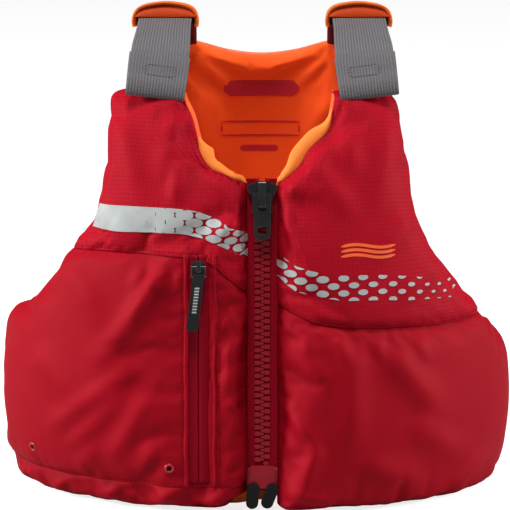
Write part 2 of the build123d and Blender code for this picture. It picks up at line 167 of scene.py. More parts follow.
# Shares of the padding at which two skins meet: at most edges, armhole, neckline, top edge, back's neckline.
EDGE_SHARE, RIM_SHARE, NECK_SHARE, TOP_SHARE, NAPE_SHARE = 0.5, 0.6, 0.74, 0.35, 0.8

FRONTS = {
    "left": dict(
        side=1, widen=-6.5, seed=11,
        armhole=[(72, 267), (80, 266.5), (85.5, 262.5), (89, 254), (91.5, 244), (95.5, 230), (98.5, 215),
                 (101, 200), (104, 186), (113.5, 168), (125, 151), (139, 132), (147, 116), (157, 102)],
        neck=[(22, 221.6), (28.5, 231.3), (34.5, 237.5), (42.4, 246), (45.2, 256), (46.7, 264), (47.5, 268)],
        cuts=[[(11, 134), (24, 129), (40, 123), (65, 120.5), (92, 119), (116, 118), (134, 118), (146, 121)]],
        foot=[(9.6, 3.5), (14, 0.9), (22, -0.4), (60, -0.4), (110, -1.6), (150, -3.2)],
        rows=[42, 42]),
    "right": dict(
        side=-1, widen=3.0, seed=23,
        armhole=[(82, 268), (90, 267.5), (95.5, 263.5), (97.5, 250), (99, 232), (101.5, 217), (103.5, 201),
                 (107, 184), (119, 167), (129, 149), (142, 131), (156, 113.5), (163, 104)],
        neck=[(22, 215.5), (33, 221), (39, 230), (41.4, 238.6), (45, 251.8), (50, 262), (52, 268)],
        cuts=[[(11, 17), (60, 17), (110, 17), (165, 17)],
              [(11, 143), (15, 147), (22, 153), (31, 161), (40, 165), (50, 166.5), (85, 167), (121, 166)]],
        foot=[(9.6, 11), (14, 9), (20, 5), (27, 1.5), (36, 0), (50, 0), (75, 0), (115, 0)],
        rows=[7, 40, 36]),
}
COLUMNS = 76
ACROSS_DRAW, UP_DRAW = 0.5, 0.3        # how far a front's grid is drawn towards its edges
BACK_COLUMNS, BACK_ROWS, BACK_EDGE_Y = 88, 84, 49.0


def line_y(foot, head, z):
    """Depth at height z on the straight line between two (y, z) points."""
    return foot[0] + (head[0] - foot[0]) * (z - foot[1]) / (head[1] - foot[1])


def zip_share(z):
    """Share of the padding at which the main zip runs at height z."""
    return (-line_y(ZIP_FOOT, ZIP_HEAD, z) - section(OPENING_B, z)) / section(PADDING, z)


def front_edges(shape):
    """Hem, zip-and-neck edge and side-and-armhole edge of a front, laid out flat."""
    foot_z = shape["foot"][0][1]
    zs = np.linspace(foot_z, NECK_Z, 60)
    zip_line = np.stack([FLAT * angle_at(ZIP_EDGE, zs, zip_share(zs)), zs], -1)
    neck = smooth(np.vstack([zip_line[-1:], flat(shape["neck"], NECK_SHARE)]))
    left = np.vstack([zip_line, neck[1:]])
    side = [(SIDE_S, 0), (SIDE_S, 30), (SIDE_S, 60), (SIDE_S, 84), (SIDE_S - 1.5, 95)]
    right = smooth(np.vstack([side, flat(shape["armhole"], RIM_SHARE)[::-1]]))
    hem = smooth(np.vstack([zip_line[:1], flat(shape["foot"][1:], 1.0), [[SIDE_S, 0]]]), 10)
    return hem, left, right


def front_grid(shape):
    """Flat grid of a front, with the rows that lie on its cross seams."""
    hem, left, right = front_edges(shape)
    bottom = resample(hem, COLUMNS, ACROSS_DRAW)
    grids, seam_rows = [], []
    lines = [flat(cut, 1.0) for cut in shape["cuts"]]
    for k, rows in enumerate(shape["rows"]):
        if k < len(lines):
            low_left, left = cut_at(left, lines[k][0, 1])
            low_right, right = cut_at(right, lines[k][-1, 1])
            seam = lines[k].copy()
            seam[0], seam[-1] = low_left[-1], low_right[-1]
            top = resample(smooth(seam), COLUMNS, ACROSS_DRAW)
        else:
            low_left, low_right = left, right
            top = resample(np.array([left[-1], right[-1]]), COLUMNS, ACROSS_DRAW)
        edges = [resample(edge, rows + 1, UP_DRAW) for edge in (low_left, low_right)]
        grid = coons(bottom, top, *edges)
        grids.append(grid if not grids else grid[1:])
        seam_rows.append(sum(shape["rows"][:k + 1]))
        bottom = top
    return np.vstack(grids), seam_rows[:-1]


def back_grid():
    """Flat grid of the back, from the wearer's right to the left."""
    zs = np.array([0, 30, 60, 84, 95.0])
    depth = section(OPENING_B, zs) + 0.5 * section(PADDING, zs)
    side = np.stack([FLAT * np.arccos(BACK_EDGE_Y / depth), zs], -1)
    armhole = flat([(138, 106), (122, 119), (108, 138), (98, 162), (91, 195), (86, 240), (84, 268),
                    (82, 284)], RIM_SHARE)
    right = smooth(np.vstack([side, armhole]))
    left = right * np.array([-1, 1])
    half = flat([(82, 284), (70, 286), (52, 287), (42, 285), (22, 279), (0, 276.5)], 0.8)
    top = smooth(np.vstack([half, (half * np.array([-1, 1]))[::-1][1:]]))[::-1]
    top[0], top[-1] = left[-1], right[-1]
    bottom = resample(np.array([left[0], right[0]]), BACK_COLUMNS, 0.3)
    return coons(bottom, resample(top, BACK_COLUMNS, 0.3), resample(left, BACK_ROWS, 0.35),
                 resample(right, BACK_ROWS, 0.35))


# ---- padded panels ----------------------------------------------------------------------------------
def row_normals(points):
    """Normals of a grid of points, from the directions along its rows and columns."""
    across = np.gradient(points, axis=1)
    up = np.gradient(points, axis=0)
    n = np.cross(across, up)
    return n / np.maximum(np.linalg.norm(n, axis=-1, keepdims=True), 1e-9)


def rim_of(grid):
    """The edge points of a grid, once round."""
    return np.concatenate([grid[0, :], grid[1:, -1], grid[-1, -2::-1], grid[-2:0:-1, 0]])


def lay_distance(points, targets, at_once=2000):
    """Distance from each point of a grid to the nearest target, and which target that is."""
    flat_points = points.reshape(-1, 3)
    best, which = [], []
    for start in range(0, len(flat_points), at_once):
        d = np.linalg.norm(flat_points[start:start + at_once, None] - targets[None], axis=-1)
        which.append(d.argmin(1))
        best.append(d.min(1))
    shape = points.shape[:2]
    return np.concatenate(best).reshape(shape), np.concatenate(which).reshape(shape)


def ripple(rng, waves):
    """Smooth random function of distance along an edge, about -1 to 1."""
    phases = rng.uniform(0, 2 * np.pi, len(waves))
    strengths = rng.uniform(0.5, 1.0, len(waves))

    def at(s):
        total = sum(k * np.sin(2 * np.pi * s / w + p) for w, p, k in zip(waves, phases, strengths))
        return total / strengths.sum()
    return at


def padded(grid, rim_share, face, seed, crown, pucker):
    """Outer and inner skins of a padded panel that meet at its rim."""
    rng = np.random.default_rng(seed)
    theta, z = grid[..., 0] / FLAT, grid[..., 1]
    mid = torso(theta, z, 0.5, face)
    rim = rim_of(mid)
    away, near = lay_distance(mid, rim)
    share = rim_share[near]
    roll = 0.62 * section(PADDING, z) * (0.5 + 0.5 * smoothstep(z / 55))
    t = np.clip(away / roll, 0, 1)
    profile = (1 - (1 - t) ** 2.3) ** (1 / 2.3)
    outer = torso(theta, z, share + (1 - share) * profile, face)
    inner = torso(theta, z, share * (1 - profile), face)
    along = arc_length(np.vstack([rim, rim[:1]]))[:-1][near]
    wave = ripple(rng, (9.5, 13, 17.5, 23, 31))
    slow = ripple(rng, (47, 71, 113))
    edge_pull = np.exp(-away / 11.0) * (1 - np.exp(-away / 3.0))
    gathers = pucker * edge_pull * wave(along) * (0.7 + 0.5 * slow(along))
    return outer, inner, away, crown * (1 - np.exp(-(away / 38) ** 2)) + gathers


def fold_lift(x, z, folds):
    """Height that long soft folds add at front-view points. Each fold is x0, z0, x1, z1, width, height."""
    total = np.zeros_like(x)
    for x0, z0, x1, z1, width, height in folds:
        dx, dz = x1 - x0, z1 - z0
        length = math.hypot(dx, dz)
        t = ((x - x0) * dx + (z - z0) * dz) / length ** 2
        off = ((x - x0) * dz - (z - z0) * dx) / length
        fade = np.clip(t / 0.18, 0, 1) * np.clip((1.0 - t) / 0.45, 0, 1)
        total += height * fade * np.exp(-(off / width) ** 2)
    return total


# ---- meshes -----------------------------------------------------------------------------------------
def new_mesh(name, verts, faces, uv=None):
    """A smooth-shaded mesh object from points in millimetres."""
    mesh = bpy.data.meshes.new(name)
    mesh.from_pydata((np.asarray(verts) * MM).tolist(), [], faces)
    mesh.validate()
    if uv is not None:
        layer = mesh.uv_layers.new(name="UVMap")
        index = np.zeros(len(mesh.loops), int)
        mesh.loops.foreach_get("vertex_index", index)
        layer.data.foreach_set("uv", np.asarray(uv, float)[index].astype(np.float32).ravel())
    mesh.polygons.foreach_set("use_smooth", [True] * len(mesh.polygons))
    obj = bpy.data.objects.new(name, mesh)
    bpy.context.scene.collection.objects.link(obj)
    return obj


def grid_faces(rows, cols, flip=False, wrap=False):
    faces = []
    for r in range(rows - 1):
        for c in range(cols if wrap else cols - 1):
            d = (c + 1) % cols
            quad = (r * cols + c, r * cols + d, (r + 1) * cols + d, (r + 1) * cols + c)
            faces.append(quad[::-1] if flip else quad)
    return faces


def set_all(target, settings):
    for key, value in settings.items():
        setattr(target, key, value)


def add_modifier(obj, name, kind, **settings):
    set_all(obj.modifiers.new(name, kind), settings)


def soften(obj):
    """One level of smooth subdivision."""
    add_modifier(obj, "smooth", "SUBSURF", levels=1, render_levels=1)


CLOTH_THICK = 0.9


def sheet(name, points, flip, uv):
    """A sewn cloth sheet with thickness, from a grid of points. Its outside is where the normals point."""
    rows, cols = points.shape[:2]
    obj = new_mesh(name, points.reshape(-1, 3), grid_faces(rows, cols, flip), uv.reshape(-1, 2))
    soften(obj)
    add_modifier(obj, "cloth_thickness", "SOLIDIFY", thickness=CLOTH_THICK * MM, offset=-1.0)
    return obj


PUFF_FRAMES = 20
PUFF = dict(quality=7, mass=0.2, tension_stiffness=18, compression_stiffness=14, shear_stiffness=6,
            bending_stiffness=0.25, tension_damping=8, compression_damping=8, shear_damping=8, air_damping=2,
            vertex_group_mass="pin", pin_stiffness=1, use_pressure=True)


def puff(points, flip, pin, growth, pressure, cap):
    """New points of one skin after a cloth simulation: pinned where pin is 1, grown a little and blown up."""
    rows, cols = points.shape[:2]
    obj = new_mesh("puff", points.reshape(-1, 3), grid_faces(rows, cols, flip))
    group = obj.vertex_groups.new(name="pin")
    weights = pin.ravel()
    for i in np.nonzero(weights > 0.01)[0]:
        group.add([int(i)], float(weights[i]), "REPLACE")
    cloth = obj.modifiers.new("cloth", "CLOTH")
    set_all(cloth.settings, PUFF)
    set_all(cloth.settings, dict(uniform_pressure_force=pressure, shrink_min=-growth, shrink_max=-growth))
    cloth.settings.effector_weights.gravity = 0
    cloth.collision_settings.use_collision = False
    cloth.point_cache.frame_start = 1
    cloth.point_cache.frame_end = PUFF_FRAMES
    scene = bpy.context.scene
    for f in range(1, PUFF_FRAMES + 1):
        scene.frame_set(f)
    evaluated = obj.evaluated_get(bpy.context.evaluated_depsgraph_get())
    moved = np.array([v.co for v in evaluated.data.vertices], float).reshape(points.shape) / MM
    bpy.data.objects.remove(obj)
    scene.frame_set(1)
    step = moved - points
    size = np.linalg.norm(step, axis=-1, keepdims=True)
    return points + step / np.maximum(size, 1e-9) * cap * np.tanh(size / cap)


def surface_tree(*objs):
    """Ray-cast tree of the finished meshes, modifiers included, in millimetres."""
    graph = bpy.context.evaluated_depsgraph_get()
    verts, faces = [], []
    for obj in objs:
        mesh = obj.evaluated_get(graph).to_mesh()
        base = len(verts)
        verts.extend((v.co / MM) for v in mesh.vertices)
        faces.extend([base + i for i in p.vertices] for p in mesh.polygons)
        obj.evaluated_get(graph).to_mesh_clear()
    return BVHTree.FromPolygons(verts, faces)


FAR = 400.0


def project(tree, x, z, face=FRONT):
    """Where the surface stands at a front-view point, and its normal there."""
    hit, normal, _, _ = tree.ray_cast(Vector((x, face * FAR, z)), Vector((0, -face, 0)))
    if hit is None:
        return None, None
    if normal.y * face < 0:
        normal = -normal
    return np.array(hit), np.array(normal)


# ---- materials --------------------------------------------------------------------------------------
class Nodes:
    """Short way to wire a node material."""

    def __init__(self, name):
        self.material = bpy.data.materials.new(name)
        self.material.use_nodes = True
        self.tree = self.material.node_tree
        self.shader = self.tree.nodes["Principled BSDF"]

    def add(self, kind, inputs=None, **settings):
        node = self.tree.nodes.new(kind)
        set_all(node, settings)
        for key, value in (inputs or {}).items():
            self.set(node, key, value)
        return node

    def set(self, node, key, value):
        socket = node.inputs[key]
        if isinstance(value, bpy.types.NodeSocket):
            self.tree.links.new(value, socket)
        else:
            socket.default_value = value

    def place(self):
        """Place on the object, in metres."""
        return self.add("ShaderNodeTexCoord").outputs["Object"]

    def cloth_place(self):
        """Place across and along the cloth, in millimetres."""
        uv = self.add("ShaderNodeTexCoord").outputs["UV"]
        return self.add("ShaderNodeSeparateXYZ", {"Vector": uv}).outputs

    def math(self, operation, *values):
        node = self.add("ShaderNodeMath", operation=operation)
        for i, value in enumerate(values):
            self.set(node, i, value)
        return node.outputs[0]

    def noise(self, vector, scale, detail=3.0, rough=0.5):
        return self.add("ShaderNodeTexNoise", {"Vector": vector, "Scale": scale, "Detail": detail,
                                               "Roughness": rough}).outputs["Fac"]

    def ramp(self, value, low, high):
        """value mapped from 0..1 to low..high."""
        node = self.add("ShaderNodeMapRange", {"Value": value, "To Min": low, "To Max": high})
        return node.outputs["Result"]

    def mix(self, factor, a, b):
        node = self.add("ShaderNodeMix", data_type="RGBA")
        self.set(node, 0, factor)
        self.set(node, 6, a)
        self.set(node, 7, b)
        return node.outputs[2]

    def out(self, **inputs):
        for key, value in inputs.items():
            self.set(self.shader, key.replace("_", " "), value)
        return self.material

    def bump(self, height, distance, strength=1.0, normal=None):
        inputs = {"Height": height, "Distance": distance, "Strength": strength}
        if normal is not None:
            inputs["Normal"] = normal
        return self.add("ShaderNodeBump", inputs).outputs["Normal"]


def shade(colour, factor):
    return tuple(c * factor for c in colour[:3]) + (1.0,)


def woven(name, colour, pitch, ripstop=0.0, rough=0.62, sheen=0.0, contrast=0.16, weave=0.06):
    """Woven cloth: thread weave at its real pitch, with slow colour variation."""
    m = Nodes(name)
    place, cloth = m.place(), m.cloth_place()
    rate = 2 * math.pi / pitch
    warp, weft = (m.math("SINE", m.math("MULTIPLY", cloth[axis], rate)) for axis in ("X", "Y"))
    height = m.math("MULTIPLY", m.math("MULTIPLY", warp, weft), 0.5)
    slow = m.noise(place, 14.0, 4.0, 0.6)
    fine = m.noise(place, 900.0, 2.0, 0.5)
    tint = m.math("ADD", m.math("MULTIPLY", slow, 0.7), m.math("MULTIPLY", fine, 0.3))
    colour_out = m.mix(tint, shade(colour, 1 - contrast), shade(colour, 1 + contrast))
    if ripstop:
        lines = []
        for axis in ("X", "Y"):
            phase = m.math("FRACT", m.math("DIVIDE", cloth[axis], ripstop))
            lines.append(m.math("LESS_THAN", phase, 0.16))
        grid = m.math("MAXIMUM", *lines)
        height = m.math("ADD", height, m.math("MULTIPLY", grid, 1.6))
        colour_out = m.mix(m.math("MULTIPLY", grid, 0.5), colour_out, shade(colour, 0.7))
    normal = m.bump(height, weave * MM, 1.0)
    normal = m.bump(slow, 0.6 * MM, 0.5, normal)
    return m.out(Base_Color=colour_out, Roughness=m.ramp(tint, rough - 0.08, rough + 0.08), Normal=normal,
                 Sheen_Weight=sheen, Sheen_Roughness=0.45, Specular_IOR_Level=0.08)


def ribbed(name, colour, ribs, width, rough=0.55):
    """Webbing: ribs along its length, crossed by fine picks. Rib crests are painted lighter and grooves
    darker: painted highlight and painted shade.
    """
    m = Nodes(name)
    place, cloth = m.place(), m.cloth_place()
    rib = m.math("COSINE", m.math("MULTIPLY", cloth["X"], 2 * math.pi * ribs / width))
    crest = m.ramp(m.math("MULTIPLY", m.math("SUBTRACT", 1.0, rib), 0.5), 0.0, 1.0)
    pick = m.math("SINE", m.math("MULTIPLY", cloth["Y"], 2 * math.pi / PICK))
    slow = m.noise(place, 90.0, 4.0, 0.6)
    # Painted highlight on the rib crests and painted shade in the grooves, mixed with slow tone.
    painted_rib_light_and_tone = m.math("ADD", m.math("MULTIPLY", crest, 0.75), m.math("MULTIPLY", slow, 0.35))
    colour_out = m.mix(painted_rib_light_and_tone, shade(colour, 0.60), shade(colour, 1.35))
    normal = m.bump(m.math("MULTIPLY", pick, crest), 0.12 * MM)
    return m.out(Base_Color=colour_out, Roughness=m.ramp(slow, rough - 0.1, rough + 0.15), Normal=normal,
                 Specular_IOR_Level=0.3)


def moulded(name, colour, rough=0.4, grain=0.02, coat=0.0, shine=0.5, edge_highlight_and_wear=None):
    """Moulded plastic, rubber or enamel: fine grain, uneven gloss and handling marks. An optional edge colour
    is painted on
    rounded edges: partly wear, partly a painted highlight where the light catches them."""
    m = Nodes(name)
    place = m.place()
    grains = m.noise(place, 2600.0, 2.0, 0.5)
    slow = m.noise(place, 60.0, 4.0, 0.6)
    colour_out = m.mix(slow, shade(colour, 0.8), shade(colour, 1.2))
    # Rounded edges take the edge colour: a painted highlight, with some wear.
    if edge_highlight_and_wear:
        rounded = m.add("ShaderNodeBevel", {"Radius": 0.45 * MM}, samples=4).outputs["Normal"]
        true = m.add("ShaderNodeNewGeometry").outputs["Normal"]
        turn = m.add("ShaderNodeVectorMath", {0: rounded, 1: true}, operation="DOT_PRODUCT").outputs["Value"]
        edge = m.add("ShaderNodeMapRange", {"Value": turn, "From Min": 0.97, "From Max": 0.80})
        edge_highlight_and_wear_mask = m.math("MULTIPLY", edge.outputs["Result"], m.ramp(slow, 0.35, 1.0))
        colour_out = m.mix(edge_highlight_and_wear_mask, colour_out, edge_highlight_and_wear + (1.0,))
    return m.out(Base_Color=colour_out, Roughness=m.ramp(slow, rough - 0.1, rough + 0.12),
                 Normal=m.bump(grains, grain * MM), Coat_Weight=coat, Specular_IOR_Level=shine)


RED = (0.298, 0.0004, 0.008)
RED_YOKE = (0.36, 0.0008, 0.011)
RED_TAPE = (0.27, 0.0006, 0.010)
ORANGE = (0.98, 0.10, 0.010)
SILVER = (0.36, 0.38, 0.375)
GREY = (0.118, 0.110, 0.118)
BLACK = (0.012, 0.012, 0.013)

STRAP_RIBS, SIDE_RIBS = 20, 13
STRAP_WIDTH, SIDE_WIDTH = 38, 25
PICK = 1.1                        # pitch of the webbing's cross threads

MAT = {
    "red": woven("red_nylon", RED, 0.7),
    "yoke": woven("red_ripstop", RED_YOKE, 0.7, ripstop=2.6),
    "orange": woven("orange_nylon", ORANGE, 0.7, contrast=0.10, sheen=0.15),
    # Red fabric darkened to stand for its shade: painted shade on the shoulder pads.
    "pad_red_painted_shade": woven("red_nylon_painted_shade", (0.09, 0.006, 0.008), 0.7),
    "tape": woven("zip_tape", RED_TAPE, 1.1, weave=0.12),
    "webbing": ribbed("shoulder_webbing", GREY, STRAP_RIBS, STRAP_WIDTH),
    "side_webbing": ribbed("side_webbing", GREY, SIDE_RIBS, SIDE_WIDTH),
    "black_webbing": woven("black_webbing", (0.016, 0.016, 0.016), 1.3, weave=0.22, rough=0.7),
    "thread": moulded("red_thread", (0.25, 0.001, 0.006), 0.7, shine=0.1),
    "grey_thread": moulded("grey_thread", (0.09, 0.085, 0.09), 0.7, shine=0.1),
    "teeth": moulded("zip_plastic", (0.32, 0.003, 0.012), 0.34, shine=0.35),
    "eyelet": moulded("eyelet_enamel", (0.36, 0.002, 0.01), 0.35, coat=0.2),
    "hole": moulded("eyelet_shadow", (0.03, 0.001, 0.002), 0.8, shine=0.1),
    "cap": moulded("cap_orange", (0.72, 0.135, 0.015), 0.5, grain=0.05, shine=0.25),
    # Darker copy of the cap orange: painted shade for the cap's sloping face.
    "cap_face_painted_shade": moulded("cap_orange_painted_shade", (0.52, 0.05, 0.005), 0.6, grain=0.05, shine=0.2),
    # Lighter copy of the lining orange: painted highlight for its rolled edges.
    "roll": woven("orange_lining_painted_highlight", (0.90, 0.23, 0.042), 0.7, contrast=0.12),
    # The light edge colour on black parts is partly a painted highlight, partly wear.
    "black": moulded("black_enamel", BLACK, 0.3, coat=0.25, edge_highlight_and_wear=(0.17, 0.17, 0.175)),
    "rubber": moulded("black_rubber", (0.010, 0.010, 0.011), 0.5, grain=0.04, shine=0.25,
                      edge_highlight_and_wear=(0.05, 0.05, 0.05)),
    "plastic": moulded("black_acetal", (0.012, 0.012, 0.013), 0.42, shine=0.4),
    "silver": moulded("reflective_print", SILVER, 0.62, grain=0.012, shine=0.2),
    "print_orange": moulded("print_orange", (0.80, 0.10, 0.012), 0.6),
    "print_red": moulded("print_red", (0.50, 0.006, 0.022), 0.6),
    "film": moulded("foot_film", (0.52, 0.055, 0.075), 0.25, coat=0.3),
    "pale": moulded("pale_bars", (0.38, 0.38, 0.37), 0.5),
}


def film(obj, thickness=0.3):
    """Gives a laid-on print its thickness, inwards from the laid face."""
    add_modifier(obj, "film_thickness", "SOLIDIFY", thickness=thickness * MM, offset=-1.0)
    add_modifier(obj, "film_edges", "EDGE_SPLIT", split_angle=math.radians(40))
    return obj


def wear(obj, key):
    obj.data.materials.clear()
    obj.data.materials.append(MAT[key])
    return obj


def fit(obj, key, slot, body, *stands_for):
    """Gives a piece its material and the body it rides on, and hides the CAD nodes that it stands for."""
    wear(obj, key)
    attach(obj, body)
    if stands_for:
        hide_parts(*stands_for)
    return obj


# ---- fronts and back --------------------------------------------------------------------------------
def front_share(grid):
    """Share of the padding at which the two skins of a front meet, for each point of the rim."""
    rim = rim_of(grid)
    count, rows = grid.shape[1], grid.shape[0]
    share = np.full(len(rim), EDGE_SHARE)
    share[count + rows - 2:2 * count + rows - 2] = TOP_SHARE
    zip_side = np.arange(len(rim)) >= 2 * count + rows - 2
    zip_side[0] = True
    share[zip_side] = np.where(rim[zip_side, 1] > NECK_Z + 3, NECK_SHARE, zip_share(rim[zip_side, 1]))
    return share


def flatten_pocket(points):
    """Draws the right front down to the straight pocket zip."""
    x, y, z = points[..., 0], points[..., 1], points[..., 2]
    line = line_y(POCKET_FOOT, POCKET_HEAD, z)
    off = np.abs(x - POCKET_X)
    level = line + np.where(off < 6, 1.5, -0.5)
    reach = smoothstep((z - 4) / 12) * smoothstep((176 - z) / 10)
    weight = (1 - smoothstep((off - 9) / 26)) * reach
    points[..., 1] = y + weight * (level - y)
    return points


# Each fold is x0, z0, x1, z1, width, height, on the +X side.
LEFT_FOLDS = [
    (10, 80, 40, 38, 5, 5.0), (36, 48, 24, 10, 5, 3.6), (57, 112, 60, 30, 9, 3.4), (80, 108, 124, 52, 9, 4.2),
    (14, 110, 46, 84, 7, 3.4), (11, 58, 24, 30, 3.5, 3.0), (12, 16, 54, 5, 4, 3.0),
    (124, 6, 152, 32, 4.5, 3.6), (96, 60, 140, 22, 9, 3.0), (66, 34, 110, 12, 8, 2.4),
    (12, 202, 46, 238, 5, 5.4), (13, 198, 26, 164, 4.5, 4.0), (30, 226, 62, 190, 7, 3.6),
    (48, 260, 62, 212, 7, 3.2), (86, 252, 72, 192, 8, 3.0), (100, 192, 70, 162, 7, 2.8),
    (114, 160, 84, 134, 7, 2.4), (14, 208, 40, 206, 4, 3.6), (26, 118, 32, 102, 3.6, 2.0),
    (48, 116, 54, 98, 4, 2.2), (72, 114, 78, 98, 3.6, 2.0), (100, 112, 108, 94, 4, 2.2),
]
RIGHT_FOLDS = [
    (48, 230, 18, 206, 5, 5.6), (13, 200, 30, 172, 4.5, 4.4), (52, 226, 58, 196, 5, 3.6),
    (54, 260, 66, 212, 7, 3.2), (92, 252, 78, 192, 8, 3.0), (106, 198, 74, 168, 7, 2.8),
    (14, 188, 36, 182, 4, 3.4), (142, 46, 76, 100, 6, 3.6), (128, 36, 84, 82, 5, 2.8),
    (100, 30, 64, 92, 5, 2.5), (58, 160, 118, 82, 7, 3.4), (66, 160, 88, 116, 5, 3.2),
    (150, 100, 112, 62, 9, 3.4), (126, 158, 100, 116, 8, 3.4), (80, 24, 66, 50, 4.5, 3.0),
    (118, 22, 108, 44, 5, 2.6), (52, 158, 56, 140, 3.5, 2.6), (62, 160, 70, 142, 3.5, 2.4),
    (76, 160, 84, 144, 3.5, 2.2),
]
BACK_FOLDS = [
    (-60, 250, -20, 190, 9, 2.0), (62, 262, 30, 214, 8, 1.8), (70, 240, 40, 180, 10, 1.5),
    (-44, 283, -8, 268, 4, 2.6), (44, 283, 6, 270, 4, 2.6), (-46, 276, -16, 246, 5, 2.4),
    (46, 277, 20, 248, 5, 2.4), (-30, 284, -12, 274, 3, 1.6), (26, 282, 10, 272, 3, 1.6),
    (-100, 120, -60, 60, 12, 2.0), (100, 120, 64, 50, 12, 2.0), (-30, 40, 30, 20, 9, 1.5),
]
# Short pleats between the pocket zip and the main zip: top z, foot z, width, height.
PLEATS = [(134, 118, 4, 2.2), (114, 100, 3.8, 2.0), (94, 82, 4, 2.2), (76, 66, 3.4, 2.0), (58, 44, 4, 2.2),
          (40, 26, 3.8, 2.2)]
PLEAT_FROM, PLEAT_TO = 12, 29
RIGHT_FOLDS += [(PLEAT_FROM, top, PLEAT_TO, low, width, height) for top, low, width, height in PLEATS]

# Each tuck of the hem band is the x of its upper end, the x of its lower end and its height.
HEM_TUCKS = [(20, 40, 4.4), (36, 22, 3.6), (56, 72, 5.0), (70, 54, 3.6), (90, 108, 4.8), (106, 92, 4.0),
             (124, 140, 4.6), (142, 128, 3.8), (150, 164, 4.4)]
HEM_TOP, HEM_LOW = 17.0, 1.0
TUCK_WIDTH, TUCK_SHARE, HEM_SINK = 4.6, 0.65, 1.6

# Growth of the cloth, air pressure and the furthest it moves, for each sort of skin.
FRONT_PUFF = dict(growth=0.035, pressure=3.0, cap=5.5)
BACK_PUFF = dict(growth=0.03, pressure=3.0, cap=5.5)
LINING_PUFF = dict(growth=0.03, pressure=1.6, cap=4.0)
BACK_SEED = 31


def hem_lift(x, z):
    """Height of the short slanting tucks in the right front's hem band."""
    total = np.zeros_like(x)
    run = (z - HEM_LOW) / (HEM_TOP - HEM_LOW)
    top_fade = smoothstep((1.05 - run) / 0.3)
    for high, low, height in HEM_TUCKS:
        off = x - (low + (high - low) * run)
        total += height * np.exp(-(off / TUCK_WIDTH) ** 2) * smoothstep(run / 0.5) * top_fade
    total *= smoothstep((x - 18) / 14)
    return TUCK_SHARE * total - HEM_SINK * smoothstep(run / 0.3) * top_fade


def pinned_edges(shape):
    pin = np.zeros(shape)
    pin[0], pin[-1], pin[:, 0], pin[:, -1] = 1, 1, 1, 1
    return pin


def sewn_dip(points, normals, row, depth, reach):
    """Draws a skin in along one of its rows, as a seam does."""
    distance, _ = lay_distance(points, points[row])
    return points - normals * (depth * np.exp(-(distance / reach) ** 2))[..., None]


def build_front(name):
    shape = FRONTS[name]
    side = shape["side"]
    grid, seams = front_grid(shape)
    outer, inner, away, lift = padded(grid, front_share(grid), FRONT, shape["seed"], 1.5, 1.3)
    normals = row_normals(outer)
    folds = LEFT_FOLDS if side > 0 else RIGHT_FOLDS
    hold = 1 - np.exp(-(away / 6.0) ** 2)
    outer = outer + normals * lift[..., None]
    inner = inner - row_normals(inner) * (1.2 * (1 - np.exp(-(away / 30) ** 2)))[..., None]
    pin = pinned_edges(away.shape)
    for row in seams:
        outer = sewn_dip(outer, normals, row, 1.6, 5.0)
        pin[row] = 1
    inner[..., 2] += 3.0 * np.exp(-grid[..., 1] / 6.0)
    for skin in (outer, inner):
        skin[..., 0] += shape["widen"] * smoothstep((skin[..., 0] - 70) / 80)
    mirror = np.array([side, 1, 1])
    outer, inner = outer * mirror, inner * mirror
    if side < 0:
        outer = flatten_pocket(outer)
        in_zip = (np.abs(outer[..., 0] - POCKET_X) < 10) & (outer[..., 2] > 16) & (outer[..., 2] < 170)
        pin[in_zip] = 1
    outer = puff(outer, side < 0, pin, **FRONT_PUFF)
    lift = fold_lift(np.abs(outer[..., 0]), outer[..., 2], folds) * hold
    for row in seams:
        lift *= 1 - 0.75 * np.exp(-(lay_distance(outer, outer[row])[0] / 5.0) ** 2)
    if side < 0:
        lift += hem_lift(np.abs(outer[..., 0]), outer[..., 2])
    outer = outer + row_normals(outer) * side * lift[..., None]
    return dict(outer=outer, inner=inner, uv=grid, seams=seams, side=side)


STANDS_FOR = {
    "left_lower_skin": ("left_lower_cover", "left_foam_outer"),
    "left_yoke": ("left_yoke_cover",),
    "right_hem_skin": ("right_hem_band",),
    "right_pocket_skin": ("right_pocket_panel", "right_foam_outer"),
    "right_yoke": ("right_yoke_cover",),
}


def make_front_skins(name, front):
    """Splits a front's outer skin at its seams. The yoke's edge lies over the panel below it."""
    outer, seams, side = front["outer"], front["seams"], front["side"]
    normals = row_normals(outer) * side
    body = f"{name}_front"
    pieces = []
    edges = [0] + seams + [len(outer) - 1]
    names = {"left": ["lower_skin", "yoke"], "right": ["hem_skin", "pocket_skin", "yoke"]}[name]
    for k, part in enumerate(names):
        low, high = edges[k], edges[k + 1]
        points, n = outer[low:high + 1].copy(), normals[low:high + 1]
        uv = front["uv"][low:high + 1].copy()
        if k > 0:
            distance, _ = lay_distance(points, points[0])
            over = 0.75 if part == "yoke" else -0.2
            points += n * (over * np.exp(-(distance / 7.0)))[..., None]
            tucked = points[:1] - n[:1] * 1.6
            lip = points[:1] - n[:1] * 0.3
            points = np.vstack([tucked, lip, points])
            uv = np.vstack([uv[:1], uv[:1], uv])
        if k < len(names) - 1:
            last = points[-1:] + (points[-1:] - points[-2:-1]) * 0.3 - n[-1:] * 1.0
            points = np.vstack([points, last])
            uv = np.vstack([uv, uv[-1:]])
        label = f"{name}_{part}"
        cloth = ("yoke", "red_ripstop") if part == "yoke" else ("red", "red_fabric")
        pieces.append(fit(sheet(label, points, side < 0, uv), *cloth, body, *STANDS_FOR[label]))
    lining = sheet(f"{name}_lining_skin", front["inner"], side > 0, front["uv"])
    fit(lining, "orange", "orange_lining", body, f"{name}_lining", f"{name}_foam_inner")
    return pieces


BACK_SEAMS = (6, 40)


